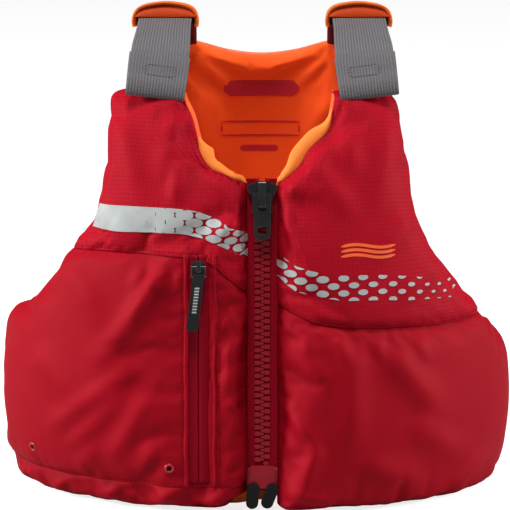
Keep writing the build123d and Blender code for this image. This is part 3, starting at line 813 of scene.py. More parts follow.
def build_back():
    grid = back_grid()
    rim = rim_of(grid)
    share = np.full(len(rim), EDGE_SHARE)
    neck = (np.abs(rim[:, 0]) < 50) & (rim[:, 1] > 250)
    share[neck] = NAPE_SHARE
    outer, inner, away, lift = padded(grid, share, BACK, BACK_SEED, 2.0, 0.9)
    normals = -row_normals(outer)
    hold = 1 - np.exp(-(away / 6.0) ** 2)
    bulge = lift + fold_lift(outer[..., 0], outer[..., 2], BACK_FOLDS) * hold
    outer = outer + normals * bulge[..., None]
    inner_normals = row_normals(inner)
    inner = inner + inner_normals * (0.6 * lift + fold_lift(inner[..., 0], inner[..., 2], BACK_FOLDS)
                                     * hold)[..., None]
    pin = pinned_edges(away.shape)
    for row in BACK_SEAMS:
        outer = sewn_dip(outer, normals, row, 2.2, 5.5)
        pin[row] = 1
    outer = puff(outer, True, pin, **BACK_PUFF)
    inner = puff(inner, False, pin, **LINING_PUFF)
    fit(sheet("back_cover_skin", outer, True, grid), "red", "red_fabric", "back", "back_cover",
        "back_foam_outer")
    lining = fit(sheet("back_lining_skin", inner, False, grid), "orange", "orange_lining", "back",
                 "back_lining", "back_foam_inner")
    return dict(outer=outer, lining=lining)


fronts = {name: build_front(name) for name in FRONTS}
skins = {name: make_front_skins(name, fronts[name]) for name in FRONTS}
back = build_back()


# ---- thread -------------------------------------------------------------------------------------------
def stitches(name, lines, body, key="thread", pitch=3.2, length=2.1, radius=0.24, slot="red_fabric"):
    """Top stitching: short raised threads along lines of (point, normal) rows."""
    verts, faces = [], []
    for points, normals in lines:
        s = arc_length(points)
        for start in np.arange(0.6, s[-1] - length, pitch):
            ends = []
            for at in (start, start + length / 2, start + length):
                p = np.array([np.interp(at, s, points[:, k]) for k in range(3)])
                n = np.array([np.interp(at, s, normals[:, k]) for k in range(3)])
                ends.append((p, n / np.linalg.norm(n)))
            run = ends[2][0] - ends[0][0]
            run = run / max(np.linalg.norm(run), 1e-9)
            base = len(verts)
            for k, (p, n) in enumerate(ends):
                rise = (0.02, 0.30, 0.02)[k]
                girth = radius * (0.7, 1.0, 0.7)[k]
                aside = np.cross(n, run)
                centre = p + n * rise
                verts += [centre + way * girth for way in (aside, n, -aside, -n)]
            for k in range(2):
                for j in range(4):
                    a, b = base + 4 * k + j, base + 4 * k + (j + 1) % 4
                    faces.append((a, a + 4, b + 4, b))
            faces.append(tuple(base + j for j in range(4)))
            faces.append(tuple(base + 8 + j for j in (3, 2, 1, 0)))
    fit(new_mesh(name, verts, faces), key, slot, body)


def row_line(points, normals, row, distance, step=1):
    """A line that follows a grid row at a distance up (step 1) or down (step -1) its columns."""
    out_p, out_n = [], []
    for c in range(points.shape[1]):
        column = points[row:, c] if step > 0 else points[row::-1, c]
        s = arc_length(column)
        out_p.append([np.interp(distance, s, column[:, k]) for k in range(3)])
        near = normals[row:, c] if step > 0 else normals[row::-1, c]
        out_n.append([np.interp(distance, s, near[:, k]) for k in range(3)])
    return np.array(out_p), np.array(out_n)


def front_stitching():
    for name, front in fronts.items():
        points = front["outer"]
        normals = row_normals(points) * front["side"]
        lines = []
        for k, row in enumerate(front["seams"]):
            p, n = row_line(points, normals, row, 2.6)
            lines.append((p + n * (0.75 if k == len(front["seams"]) - 1 else 0.1), n))
        turned, turned_n = points.transpose(1, 0, 2), normals.transpose(1, 0, 2)
        p, n = row_line(turned, turned_n, 0, 6.5)
        keep = p[:, 2] < 207
        lines.append((p[keep], n[keep]))
        stitches(f"{name}_top_stitching", lines, f"{name}_front")


def back_stitching():
    """Stitching beside the back's cross seams and along its edges."""
    points = back["outer"]
    normals = -row_normals(points)
    lines = []
    for row in BACK_SEAMS:
        p, n = row_line(points, normals, row, 2.4)
        lines.append((p + n * 0.1, n))
    turned, turned_n = points.transpose(1, 0, 2), normals.transpose(1, 0, 2)
    for row, step in ((0, 1), (len(turned) - 1, -1)):
        lines.append(row_line(turned, turned_n, row, 8.0, step))
    lines.append(row_line(points, normals, len(points) - 1, 9.0, -1))
    stitches("back_top_stitching", lines, "back")


front_stitching()
back_stitching()


# ---- reflective print ---------------------------------------------------------------------------------
# Centre line of the reflective band: x, z, half height.
BAND_RIGHT = [(-107.5, 188.5, 8), (-80, 189, 8), (-55, 189, 8), (-42, 187.5, 8), (-30, 183, 8),
              (-20, 178, 7.8), (-9.8, 172, 7.4)]
BAND_LEFT = [(9.8, 160, 7.8), (21, 153, 8), (35, 149.3, 8), (52, 147, 8), (64, 146.9, 8), (78, 146.4, 7.9),
             (90, 145.1, 7.8), (102, 144, 7.2), (119, 141.5, 6.4), (127, 140.2, 5.8)]
trees = {name: surface_tree(*skins[name]) for name in FRONTS}


def patch_mesh(verts, faces, outline, tree, lift):
    """Adds one printed patch: an outline and its centre, laid on the surface."""
    centre = outline.mean(0)
    base = len(verts)
    flat_points = [centre] + list(centre + (outline - centre) * 0.5) + list(outline)
    laid = []
    for x, z in flat_points:
        hit, normal = project(tree, x, z)
        if hit is None:
            return
        laid.append(hit + normal * lift)
    count = len(outline)
    if max(np.linalg.norm(p - laid[0]) for p in laid) > 26:
        return
    verts.extend(laid)
    for i in range(count):
        j = (i + 1) % count
        faces.append((base, base + 1 + i, base + 1 + j))
        faces.append((base + 1 + i, base + 1 + count + i, base + 1 + count + j, base + 1 + j))


def clip_polygon(outline, inside):
    """Cuts an outline down to the part where inside(point) is positive."""
    out = []
    for i in range(len(outline)):
        a, b = outline[i - 1], outline[i]
        fa, fb = inside(a), inside(b)
        if fa * fb < 0:
            out.append(a + (b - a) * fa / (fa - fb))
        if fb > 0:
            out.append(b)
    return np.array(out)


def band_edges(band):
    """Centre height and half height of the band as functions of x, and the x of its two ends."""
    xs, middles, halves = np.array(sorted(band), float).T
    return lambda x: np.interp(x, xs, middles), lambda x: np.interp(x, xs, halves), xs[0], xs[-1]


def band_cells(band, columns, size, level, gap):
    """Oval cells on a lattice, cut to the band's edges. level gives the height of the first row at x."""
    centre, half, first, last = band_edges(band)
    turn = turns(22)
    edges = [lambda p: half(p[0]) - (p[1] - centre(p[0])), lambda p: half(p[0]) + (p[1] - centre(p[0])),
             lambda p: p[0] - first, lambda p: last - p[0]]
    cells = []
    for k, x in enumerate(columns):
        wide, tall = size(x)
        for r in range(-4, 5):
            z = level(x) + gap * (r + (0.5 if k % 2 else 0))
            oval = np.stack([x + wide / 2 * np.cos(turn), z + tall / 2 * np.sin(turn)], -1)
            for inside in edges:
                oval = clip_polygon(oval, inside)
                if len(oval) < 3:
                    break
            if len(oval) >= 3 and np.ptp(oval[:, 0]) > 0.9 and np.ptp(oval[:, 1]) > 0.55:
                cells.append(oval)
    return cells


RIGHT_COLUMNS = [-10.8, -15.2, -20.4, -25.5, -31.2, -37.6, -43.8, -50, -56.2, -62.4, -68.6, -74.8, -81, -87.2]
LEFT_COLUMNS = [12.4, 18.2, 24.7, 31.8, 38.8, 45.7, 52.2, 58.8, 64.7, 71.3, 77.4, 84.1, 90, 96.2, 101.6,
                106.6, 110.8, 114.7, 118.5, 122, 125.2]
SOLID_FROM = -84.5
PRINT_LIFT = 0.38


def print_band():
    """The reflective band: solid at the wearer's right, breaking up into ovals towards the left."""
    def right_size(x):
        places = [10, 20, 25, 31, 38, 44, 53, 62, 72, 84]
        return (np.interp(-x, places, [7.4, 8.2, 8.7, 10.2, 10.8, 11.3, 11.7, 12.0, 12.2, 12.5]),
                np.interp(-x, places, [4.6, 4.9, 5.0, 5.2, 5.5, 5.8, 6.5, 7.4, 8.3, 9.2]))

    def left_size(x):
        places = [8, 38, 52, 77, 90, 102, 110, 125]
        return (np.interp(x, places, [8.2, 8.0, 7.0, 5.9, 5.2, 3.9, 2.6, 2.0]),
                np.interp(x, places, [4.6, 4.6, 4.0, 3.4, 3.1, 2.5, 1.8, 1.5]))

    def right_level(x):
        return 188 + np.interp(x, [-31, -25.5, -20.4, -15, -10], [0, -0.4, -1.3, -1.6, -1.7])

    def left_level(x):
        return 2.6 + np.interp(x, [12.4, 24.7, 38.8, 52.2, 64.7, 77.4, 90, 101.5, 110, 117.8],
                               [148, 149, 150.2, 150.7, 151, 150.9, 150, 148.8, 147.6, 146.5])

    verts, faces = [], []
    for oval in band_cells(BAND_RIGHT, RIGHT_COLUMNS, right_size, right_level, 9.7):
        patch_mesh(verts, faces, oval, trees["right"], PRINT_LIFT)
    centre, half, first, _ = band_edges(BAND_RIGHT)
    xs = np.linspace(first, SOLID_FROM, 24)
    top = np.stack([xs + 2.5 * (xs - SOLID_FROM) / (first - SOLID_FROM), centre(xs) + half(xs)], -1)
    bottom = np.stack([xs - 2.5 * (xs - SOLID_FROM) / (first - SOLID_FROM), centre(xs) - half(xs)], -1)
    laid_strip(verts, faces, top, bottom, trees["right"], 0.40, rows=9)
    fit(film(new_mesh("right_reflective_print", verts, faces)), "silver", "red_ripstop", "right_front")
    verts, faces = [], []
    for oval in band_cells(BAND_LEFT, LEFT_COLUMNS, left_size, left_level, 9.5):
        patch_mesh(verts, faces, oval, trees["left"], PRINT_LIFT)
    fit(film(new_mesh("left_reflective_print", verts, faces)), "silver", "red_ripstop", "left_front")


def bar_outline(x0, x1, z0, z1, radius=1.5, wave=0.0):
    """Outline of a rounded printed bar, wavy if asked."""
    xs = np.linspace(x0, x1, 14)
    mid, high = (z0 + z1) / 2, (z1 - z0) / 2
    bend = wave * np.sin((xs - x0) / (x1 - x0) * 2 * np.pi)
    taper = np.clip(np.minimum(xs - x0, x1 - xs) / radius, 0.35, 1)
    top = np.stack([xs, mid + bend + high * taper], -1)
    bottom = np.stack([xs, mid + bend - high * taper], -1)
    return top, bottom


def laid_strip(verts, faces, top, bottom, tree, lift, face=FRONT, rows=4):
    """A printed strip between two lines, laid on the surface."""
    base = len(verts)
    for k in range(rows):
        line = top + (bottom - top) * k / (rows - 1)
        for x, z in line:
            hit, normal = project(tree, x, z, face)
            while hit is None:
                x = x * 0.99
                hit, normal = project(tree, x, z, face)
            verts.append(hit + normal * lift)
    cols = len(top)
    for r in range(rows - 1):
        for c in range(cols - 1):
            a = base + r * cols + c
            faces.append((a, a + cols, a + cols + 1, a + 1))


print_band()


# x0, x1, z0, z1 of each bar: a wide bar, a frame of four lines and a narrow bar.
LINING_BARS = [(-26, 25, 247, 258), (-28, 26, 228.4, 229.4), (-28, 26, 218.6, 219.6), (-28, -27, 219, 229),
               (25, 26, 219, 229), (-15, 11, 208, 212)]


def generic_marks():
    """Plain marks that stand where printed words are: waves on the chest and bars inside the back."""
    verts, faces = [], []
    for z in (173.2, 170.0, 166.8):
        top, bottom = bar_outline(50.5, 85.5, z - 0.95, z + 0.95, 2.0, 1.1)
        laid_strip(verts, faces, top, bottom, trees["left"], 0.25)
    fit(film(new_mesh("left_chest_mark", verts, faces)), "print_orange", "orange_lining", "left_front")
    inside = surface_tree(back["lining"])
    verts, faces = [], []
    for x0, x1, z0, z1 in LINING_BARS:
        top, bottom = bar_outline(x0, x1, z0, z1, 0.8)
        laid_strip(verts, faces, top, bottom, inside, 0.3)
    fit(film(new_mesh("back_lining_marks", verts, faces)), "print_red", "orange_lining", "back")


generic_marks()


# ---- pocket zip -----------------------------------------------------------------------------------------
def pocket_point(x, z, out):
    """A point over the pocket zip's line, out towards the front."""
    return (x, line_y(POCKET_FOOT, POCKET_HEAD, z) - out, z)


def strip_mesh(name, rows, ring=None):
    """Mesh of a strip whose rows are closed loops of the same length, capped at both ends. ring gives the
    texture place of each point round a loop, or its distance round the loop if left out."""
    rows = np.array(rows, float)
    count, around = rows.shape[:2]
    faces = grid_faces(count, around, wrap=True)
    faces.append(tuple(range(around))[::-1])
    faces.append(tuple((count - 1) * around + i for i in range(around)))
    ring = arc_length(rows[0]) if ring is None else ring
    uv = np.stack(np.meshgrid(ring, arc_length(rows.mean(1))), -1).reshape(-1, 2)
    return new_mesh(name, rows.reshape(-1, 3), faces, uv)


# Section of a half of the pocket zip's tape: distance from the middle, height towards the front.
HALF_TAPE = [(0.22, -0.6), (0.22, 0.05), (0.72, 0.42), (1.82, 0.5), (2.82, 0.25), (7.4, 0.15), (7.4, -0.6)]
POCKET_LIPS = (("outer", -49.0, 3.0, 1.3), ("inner", -30.6, 2.6, 1.0))      # x, width and height
POCKET_SEWN = (-52.4, -27.6)


def pocket_zip():
    """Two tape halves that meet over a hidden coil, the folded lips either side and their stitching."""
    for label, side in (("inner", 1), ("outer", -1)):
        rows = [[pocket_point(POCKET_X + side * x, z, out) for x, out in HALF_TAPE]
                for z in np.linspace(20.5, 168, 80)]
        stands_for = ("pocket_zip_tape", "pocket_zip_coil") if side > 0 else ()
        fit(strip_mesh(f"pocket_tape_{label}", rows), "tape", "red_tape", "right_front", *stands_for)
    tree = trees["right"]
    for label, x, width, height in POCKET_LIPS:
        rows = []
        for z in np.linspace(18, 168.5, 90):
            middle = x + 0.25 * math.sin(z / 9.0) + 0.15 * math.sin(z / 4.1 + 1)
            skin_y, zip_y = project(tree, middle, z)[0][1], pocket_point(middle, z, 0.0)[1]
            top = skin_y if skin_y < zip_y + 1 else zip_y
            rows.append([(middle + width / 2 * math.cos(a), top - 0.2 - height * max(math.sin(a), -0.3), z)
                         for a in turns(10)])
        fit(strip_mesh(f"pocket_lip_{label}", rows), "red", "red_fabric", "right_front")
    lines = []
    for x in POCKET_SEWN:
        hits = [project(tree, x, z) for z in np.linspace(18, 166, 60)]
        lines.append(tuple(np.array(part) for part in zip(*hits)))
    stitches("pocket_stitching", lines, "right_front")


pocket_zip()


# ---- straps -----------------------------------------------------------------------------------------------
POINTS_PER_RIB, RIB_HEIGHT = 4, 0.22


def strap(name, path, across, width, thick, ribs, spread=None):
    """Ribbed webbing along a path. across gives the width direction at each path point, spread its share of
    the full width there."""
    path = np.array(path, float)
    tangent = tangents(path)
    across = np.broadcast_to(np.array(across, float), path.shape)
    across = across - (across * tangent).sum(1, keepdims=True) * tangent
    across = across / np.linalg.norm(across, axis=1, keepdims=True)
    up = np.cross(tangent, across)
    us = np.linspace(-1, 1, ribs * POINTS_PER_RIB + 1)
    bump = RIB_HEIGHT * (np.cos((us + 1) / 2 * ribs * 2 * np.pi + np.pi) * 0.5 + 0.5)
    edge = np.sqrt(np.clip(1 - np.abs(us) ** 16, 0, 1))
    height = (thick / 2 - RIB_HEIGHT + bump) * edge
    loop = [(u * width / 2, h) for u, h in zip(us, height)] + \
           [(u * width / 2, -h) for u, h in zip(us[::-1], height[::-1])]
    spread = np.ones(len(path)) if spread is None else spread
    rows = [[p + a * x * k + n * y for x, y in loop] for p, a, n, k in zip(path, across, up, spread)]
    return strip_mesh(name, rows, np.array([x + width / 2 for x, _ in loop]))


BAR_Z, AROUND = 270.2, 2.8
FOOT_X, CAP_X, CAP_Y, CAP_Z = 69.0, 64.0, 6.0, 310.0
LOOP_Y, LOOP_Z = -70.5, 267.2
TAIL_Z = LOOP_Z + 24.0
STRAP_LEAN = math.atan2(FOOT_X - CAP_X, CAP_Z - BAR_Z)
TACK_LINES = [(-11, 8.6, 8, 8.6), (-11, 14.8, 8, 14.8), (-11, 8.6, -11, 14.8), (8, 8.6, 8, 14.8)]
TAIL_POINTS = 22                                              # points of the side view on the free end


def shoulder_path():
    """Side view (y, z) of the strap: stitched free end, fold round the bar, then up into the cap."""
    turn = [(LOOP_Y - AROUND * math.cos(a), LOOP_Z - AROUND * math.sin(a))
            for a in np.linspace(0, math.pi, 12)]
    rise = smooth([(LOOP_Y + AROUND, LOOP_Z + 1), (LOOP_Y + 3.4, LOOP_Z + 9), (LOOP_Y + 8.0, LOOP_Z + 19),
                   (LOOP_Y + 15, LOOP_Z + 28), (-42, 301), (-28, 305.8), (-14, 308.8), (-5, 309.8)], 8)
    under = np.linspace(LOOP_Z + 1, TAIL_Z, 14)
    share = (under - LOOP_Z - 1) / (TAIL_Z - LOOP_Z - 1)
    apart = 2 * AROUND + (2.5 - 2 * AROUND) * smoothstep(share / 0.6)
    tail = np.stack([np.interp(under, rise[:, 1], rise[:, 0]) - apart, under], -1)[::-1]
    return np.vstack([tail, turn[1:-1], rise])


def shoulder_straps():
    side_view = resample(shoulder_path(), 96)
    for name, side in SIDES:
        lean = np.array([-math.sin(STRAP_LEAN) * side, 0, math.cos(STRAP_LEAN)])
        across = np.array([math.cos(STRAP_LEAN) * side, 0, math.sin(STRAP_LEAN)])
        foot = np.array([FOOT_X * side, 0, BAR_Z])
        path = [foot + np.array([0, y, 0]) + lean * (z - BAR_Z) for y, z in side_view]
        level = 1 - smoothstep((side_view[:, 1] - 290) / 16)
        turn = np.stack([np.cos(STRAP_LEAN * level) * side, 0 * level, np.sin(STRAP_LEAN * level)], -1)
        share = np.linspace(0, 1, len(path))
        spread = 1.045 - 0.045 * smoothstep(share / 0.36) - 0.07 * smoothstep((share - 0.5) / 0.35)
        piece = strap(f"{name}_shoulder_strap", path, turn, STRAP_WIDTH, 1.5, STRAP_RIBS, spread)
        wear(piece, "webbing")
        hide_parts(f"{name}_shoulder_webbing", f"{name}_shoulder_bar")
        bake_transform(piece)
        tail_y, tail_z = side_view[:TAIL_POINTS][::-1].T
        lines = []
        for u0, rise0, u1, rise1 in TACK_LINES:
            points = []
            for t in np.linspace(0, 1, 16):
                rise = rise0 + (rise1 - rise0) * t
                out = np.interp(BAR_Z + rise, tail_z, tail_y) - 0.78
                points.append(foot + np.array([0, out, 0]) + lean * rise + across * (u0 + (u1 - u0) * t))
            lines.append((np.array(points), np.tile([0, -1.0, 0], (len(points), 1))))
        stitches(f"{name}_strap_tack", lines, f"{name}_front", "grey_thread", 2.2, 1.5, 0.22, "grey_webbing")


shoulder_straps()


PAD_HALF_WIDTH, PAD_HALF_THICK = 19.8, 3.2


def shoulder_pads():
    """Thin padded strap from each cap down to the back's top edge."""
    side_view = resample(smooth([(24.6, 306.8), (33, 305), (40, 301.8), (49, 294.5), (52.3, 285.5)], 10), 30)
    for name, side in SIDES:
        rows = []
        for (y, z), (along_y, along_z) in zip(side_view, tangents(side_view)):
            ring = []
            for angle in turns(28):
                c, s = math.cos(angle), math.sin(angle)
                u = PAD_HALF_WIDTH * math.copysign(abs(c) ** 0.35, c)
                v = PAD_HALF_THICK * math.copysign(abs(s) ** 0.7, s)
                ring.append((side * CAP_X + u, y - along_z * v, z + along_y * v))
            rows.append(ring)
        # The pads take the darkened red: painted shade.
        fit(strip_mesh(f"{name}_pad_strap", rows), "pad_red_painted_shade", "dark_red_fabric", "back",
            f"{name}_shoulder_pad")


shoulder_pads()


CAP_OUTLINE = [(-21.6, -7.5), (-22.2, -4), (-21.8, -0.4), (-20.4, 3.2), (-17, 6.3), (-10.5, 8.3), (0, 9.4),
               (10.5, 8.3), (17, 6.3), (20.4, 3.2), (21.8, -0.4), (22.2, -4), (21.6, -7.5)]
# Section of the cap's shell, from front to back and round again: y, distance in from the outline.
CAP_SHELL = [(-9.4, 2.0), (-11.0, 1.7), (-11.9, 1.0), (-11.9, 0.2), (-11.0, -0.3), (-9.0, -0.1), (-6.0, 0.4),
             (4.0, 0.1), (17.0, 0.3), (21.0, 0.9), (22.4, 2.2), (21.0, 3.2), (4.0, 2.9), (-6.0, 2.9)]
CAP_SLOPE = 0.07
CAP_HALF = 22.0
MOUTH_LOW = -5.6


def shoulder_caps():
    """Moulded cap: a domed arch with a rolled rim, a sloping face under it in a darker orange that is painted
    shade, and a black sheet in its mouth for the strap that is painted shadow.
    """
    line = resample(smooth(CAP_OUTLINE, 8), 56)
    run = tangents(line)
    inward = np.stack([run[:, 1], -run[:, 0]], -1)
    for name, side in SIDES:
        centre = np.array([CAP_X * side, CAP_Y - 6.0, CAP_Z])
        rows = np.array([[centre + np.array([x, y, z - CAP_SLOPE * y]) for x, z in line + inward * inset]
                         for y, inset in CAP_SHELL])
        count, around = rows.shape[:2]
        faces = []
        for r in range(count):
            for c in range(around - 1):
                n = (r + 1) % count
                faces.append((r * around + c, n * around + c, n * around + c + 1, r * around + c + 1))
        faces.append(tuple(r * around for r in range(count)))
        faces.append(tuple(r * around + around - 1 for r in reversed(range(count))))
        cap = new_mesh(f"{name}_cap_arch", rows.reshape(-1, 3), faces)
        soften(cap)
        fit(cap, "cap", "orange_cap", "back", f"{name}_shoulder_cap")
        # The face is a darker copy of the cap's orange: painted shade on the sloping face.
        loops = []
        for x, z in (line + inward * 1.9)[line[:, 1] > -0.4]:
            low = -0.5 + 0.5 * (x / CAP_HALF) ** 2
            depths = [(z, -9.6), ((z + low) / 2, -11.2), (low, -12.4), (low - 0.7, -12.0), (low - 0.4, -9.6),
                      (low, -8.2), (z, -8.2)]
            loops.append([centre + np.array([x, y, h - CAP_SLOPE * y]) for h, y in depths])
        fit(strip_mesh(f"{name}_cap_face_painted_shade", loops), "cap_face_painted_shade", "orange_cap", "back")
        # A black sheet across the mouth: painted shadow where the strap goes in.
        loops = [[centre + np.array([x, y, h])
                  for h, y in ((z, -5.0), (MOUTH_LOW, -5.0), (MOUTH_LOW, -3.6), (z, -3.6))]
                 for x, z in (line + inward * 2.6)[3:-3]]
        fit(strip_mesh(f"{name}_cap_mouth_painted_shadow", loops), "rubber", "orange_cap", "back")


shoulder_caps()


LOCK_Y, BAR_OFF, SIDE_X, SIDE_Z, SIDE_AROUND = 27.0, 10.3, 152.0, 62.0, 2.7
# Each length of side webbing: towards the back (1) or front (-1), y where it starts, y where its end lies.
SIDE_LENGTHS = (("strap", 1, 51.5, 44.5), ("anchor", -1, 3.0, 8.0))


def side_straps():
    """Webbing under each arm: a loop from the front and a strap from the back, round the adjuster."""
    for name, side in SIDES:
        for label, towards, start, tail in SIDE_LENGTHS:
            y0 = LOCK_Y + towards * BAR_OFF
            line = [(-SIDE_AROUND, y) for y in np.linspace(start, y0, 6)]
            line += [(-SIDE_AROUND * math.cos(a), y0 - towards * SIDE_AROUND * math.sin(a))
                     for a in np.linspace(0, math.pi, 10)]
            line += [(SIDE_AROUND + 0.3 * t, y0 + (tail - y0) * t) for t in np.linspace(0.1, 1, 5)]
            path = np.array([(side * (SIDE_X + x), y, SIDE_Z) for x, y in line], float)
            piece = strap(f"{name}_side_{label}", resample(path, 40), (0, 0, 1), SIDE_WIDTH, 1.4, SIDE_RIBS)
            if label == "anchor":
                fit(piece, "side_webbing", "grey_webbing", f"{name}_front", f"{name}_side_anchor")
                continue
            wear(piece, "side_webbing")
            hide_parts(f"{name}_side_webbing")
            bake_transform(piece)


side_straps()


# ---- edges and small parts -------------------------------------------------------------------------------
ROLL_TOP = {"left": 260.0, "right": 243.0}


def neck_rolls():
    """The lining's padded edge, which rolls over the neckline beside the red. Its lighter orange is a painted
    highlight on the lining colour.
    """
    for name, front in fronts.items():
        side = front["side"]
        rim = front["outer"][:, 0]
        top = ROLL_TOP[name]
        line = resample(rim[(rim[:, 2] > NECK_Z - 4) & (rim[:, 2] < top)], 44)
        run = tangents(line)
        towards = np.stack([-run[:, 2], 0 * run[:, 0], run[:, 0]], -1) * side
        rows = []
        for k, (p, n) in enumerate(zip(line, towards)):
            width = 2.2 + (4.4 if side > 0 else 3.8) * math.exp(-((p[2] - 231) / 15.0) ** 2)
            width *= (0.5 + 0.5 * smoothstep(k / 6.0)) * (0.12 + 0.88 * smoothstep((top - p[2]) / 16))
            width *= 1 + 0.08 * math.sin(k * 0.45 + side)
            centre = p + n * width * 0.35 + np.array([0, 3.0, 0])
            rows.append([centre + n * width * math.cos(a) + np.array([0, 4.2 * math.sin(a), 0])
                         for a in turns(18)])
        roll = strip_mesh(f"{name}_neck_roll", rows)
        soften(roll)
        # The rolled edge takes the lighter orange: painted highlight.
        fit(roll, "roll", "orange_lining", f"{name}_front")


neck_rolls()


def zip_point(x, z, out=0.0):
    """A point on the main zip's line, out towards the front."""
    return np.array([x, line_y(ZIP_FOOT, ZIP_HEAD, z) - out, z])


# Sections of a zip half's cloth edge and of the clear film at its foot: x, distance out to the front.
CORD = [(0.0, 0.3), (2.2, 0.42), (4.6, 0.3), (4.6, -0.35), (2.2, -0.35), (0.0, -0.3)]
FOOT_FILM = [(4.9, 0.5), (7.2, 0.85), (9.9, 0.6), (9.9, 0.3), (4.9, 0.25)]


def zip_backing():
    """Cloth edge that the teeth are clamped on, either side of the main zip, and the film at its foot."""
    for name, side in SIDES:
        for label, loop, zs, key in (("zip_cord", CORD, np.linspace(12.4, 211, 60), "tape"),
                                     ("foot_film", FOOT_FILM, np.linspace(14.5, 27, 8), "film")):
            rows = [[zip_point(side * x, z, out) for x, out in loop] for z in zs]
            fit(strip_mesh(f"{name}_{label}", rows), key, "red_tape", f"{name}_front")


zip_backing()


DRAINS = ((-151, 32), (-60, 30))
RING_SECTION = [(1.5, 0.0), (1.7, 0.7), (2.4, 1.0), (3.1, 0.7), (3.4, -0.1), (2.4, -0.6)]     # radius, height
HOLE_RADIUS, HOLE_LIFT = 1.6, 0.12


def drain_rings():
    """Rolled rings of the pocket's drains, with a dark disc in each that stands for the hole: painted shadow.
    """
    verts, faces, holes, hole_faces = [], [], [], []
    around, deep = 28, len(RING_SECTION)
    for x, z in DRAINS:
        hit, normal = project(trees["right"], x, z)
        a = np.cross(normal, [0, 0, 1.0])
        a /= np.linalg.norm(a)
        b = np.cross(normal, a)
        spokes = [a * math.cos(t) + b * math.sin(t) for t in turns(around)]
        base, middle = len(verts), len(holes)
        verts += [hit + spoke * r + normal * h for spoke in spokes for r, h in RING_SECTION]
        holes += [hit + normal * HOLE_LIFT]
        holes += [hit + normal * HOLE_LIFT + spoke * HOLE_RADIUS for spoke in spokes]
        for i in range(around):
            after = (i + 1) % around
            p, q = base + i * deep, base + after * deep
            faces += [(p + j, q + j, q + (j + 1) % deep, p + (j + 1) % deep) for j in range(deep)]
            hole_faces.append((middle, middle + 1 + i, middle + 1 + after))
    fit(new_mesh("drain_rings", verts, faces), "eyelet", "red_plastic", "right_front", "drain_eyelets")
    # Dark disc in each ring: painted shadow standing for the hole.
    fit(film(new_mesh("drain_hole_painted_shadows", holes, hole_faces)), "hole", "red_fabric", "right_front")


drain_rings()


def lining_corner():
    """The lining's lower edge, which shows orange round and between the tabs below the zip's foot."""
    rows = []
    for t in np.linspace(0, 1, 34):
        x = -33 + 39 * t
        low, high = 1.2 + 2.4 * smoothstep((t - 0.25) / 0.5) + 0.5 * math.sin(t * 9), 15.0
        mid, half = (low + high) / 2, (high - low) / 2
        fat = 2.4 * math.sqrt(max(1 - (2 * t - 1) ** 6, 0.05))
        rows.append([(x, -98.0 - 2.5 * t + fat * math.cos(a), mid + half * math.sin(a))
                     for a in turns(16)])
    # The lighter orange here is the painted highlight colour of the rolled edges.
    fit(strip_mesh("right_lining_corner", rows), "roll", "orange_lining", "right_front")


lining_corner()


TAB_BARS, TAB_BAR_PITCH, TAB_BAR_HALF = 9, 1.9, 1.5


def pull_marks():
    """Plain pale bars on the pocket's rubber tab."""
    low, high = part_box("pocket_pull_tab")
    x0, x1, z0, z1 = low.x / MM, high.x / MM, low.z / MM, high.z / MM
    tab = surface_tree(NODES["pocket_pull_tab"])
    lean = math.tan(math.radians(7))
    verts, faces = [], []
    for k in range(TAB_BARS):
        z = z0 + (z1 - z0) * 0.34 + k * TAB_BAR_PITCH
        cx = (x0 + x1) / 2 - lean * ((z0 + z1) / 2 - z)
        top = np.stack([np.linspace(cx - TAB_BAR_HALF, cx + TAB_BAR_HALF, 5), np.full(5, z + 0.5)], -1)
        laid_strip(verts, faces, top, top - np.array([0, 1.0]), tab, 0.12)
    fit(film(new_mesh("pocket_tab_bars", verts, faces), 0.15), "pale", "black_rubber", "pocket_pull")


pull_marks()


# ---- CAD pieces that stay -----------------------------------------------------------------------------
KEPT = {
    "tape": ("left_zip_tape", "right_zip_tape"),
    "teeth": ("left_zip_teeth", "right_zip_teeth"),
    "black": ("main_slider", "main_pull", "pocket_slider", "pocket_pull_ring"),
    "black_webbing": ("left_zip_tab", "right_zip_tab"),
    "rubber": ("pocket_pull_tab",),
    "plastic": ("left_shoulder_lock", "right_shoulder_lock", "left_side_lock", "right_side_lock"),
}
for key, names in KEPT.items():
    for node in names:
        NODES[node].data.materials.clear()
        NODES[node].data.materials.append(MAT[key])


# ---- floor, light and camera ---------------------------------------------------------------------------
FLOOR_HALF, FLOOR_Z = 9000.0, -0.4
LAMP_WIDTH = 0.6
LAMPS = (("left", (-2.2, -0.3, 0.95), 64), ("right", (2.2, -0.15, 0.8), 49), ("top", (-0.2, -0.8, 2.3), 42))
LAMP_AIM, CAMERA_AIM = (0, 0, 0.16), (-0.0047, 0, 0.1483)
CAMERA_UP, CAMERA_BACK, LENS = math.radians(10), 2.55, 268


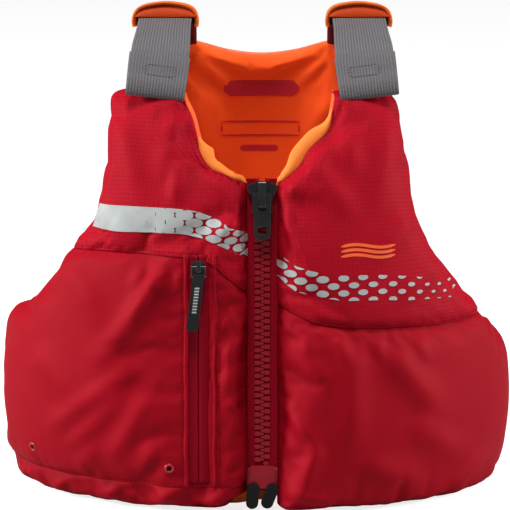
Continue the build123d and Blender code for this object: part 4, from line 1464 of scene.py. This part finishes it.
def pale_floor():
    """A floor that glows for the camera alone, so that the lamps shape the jacket."""
    corners = [(-1, -1), (1, -1), (1, 1), (-1, 1)]
    floor = new_mesh("floor", [(x * FLOOR_HALF, y * FLOOR_HALF, FLOOR_Z) for x, y in corners], [(0, 1, 2, 3)])
    m = Nodes("pale_floor")
    watched = m.add("ShaderNodeLightPath").outputs["Is Camera Ray"]
    pale = m.out(Base_Color=(0.45, 0.45, 0.45, 1), Roughness=0.95, Specular_IOR_Level=0.1,
                 Emission_Color=(1, 1, 1, 1), Emission_Strength=m.ramp(watched, 0.0, 0.80))
    floor.data.materials.append(pale)


def white_world():
    """White behind the jacket, and a faint light on it."""
    world = bpy.data.worlds.new("studio")
    bpy.context.scene.world = world
    world.use_nodes = True
    tree = world.node_tree
    seen = tree.nodes.new("ShaderNodeLightPath")
    level = tree.nodes.new("ShaderNodeMapRange")
    level.inputs["To Min"].default_value = 0.15
    level.inputs["To Max"].default_value = 1.0
    tree.links.new(seen.outputs["Is Camera Ray"], level.inputs["Value"])
    tree.links.new(level.outputs["Result"], tree.nodes["Background"].inputs[1])
    tree.nodes["Background"].inputs[0].default_value = (1, 1, 1, 1)


def placed_object(name, data, location, direction):
    """A lamp or camera that looks along direction."""
    obj = bpy.data.objects.new(name, data)
    obj.location = location
    obj.rotation_euler = direction.to_track_quat("-Z", "Y").to_euler()
    bpy.context.scene.collection.objects.link(obj)
    return obj


def studio():
    pale_floor()
    white_world()
    for name, place, power in LAMPS:
        light = bpy.data.lights.new(name, "AREA")
        set_all(light, dict(shape="SQUARE", size=LAMP_WIDTH, energy=power))
        placed_object(name, light, place, Vector(LAMP_AIM) - Vector(place))
    camera = bpy.data.cameras.new("camera")
    set_all(camera, dict(lens=LENS, sensor_width=36, clip_start=0.1, clip_end=50))
    back_off = Vector((0, -math.cos(CAMERA_UP), math.sin(CAMERA_UP)))
    view = placed_object("camera", camera, Vector(CAMERA_AIM) + back_off * CAMERA_BACK, -back_off)
    bpy.context.scene.camera = view
    bpy.context.scene.view_settings.view_transform = "Standard"


studio()
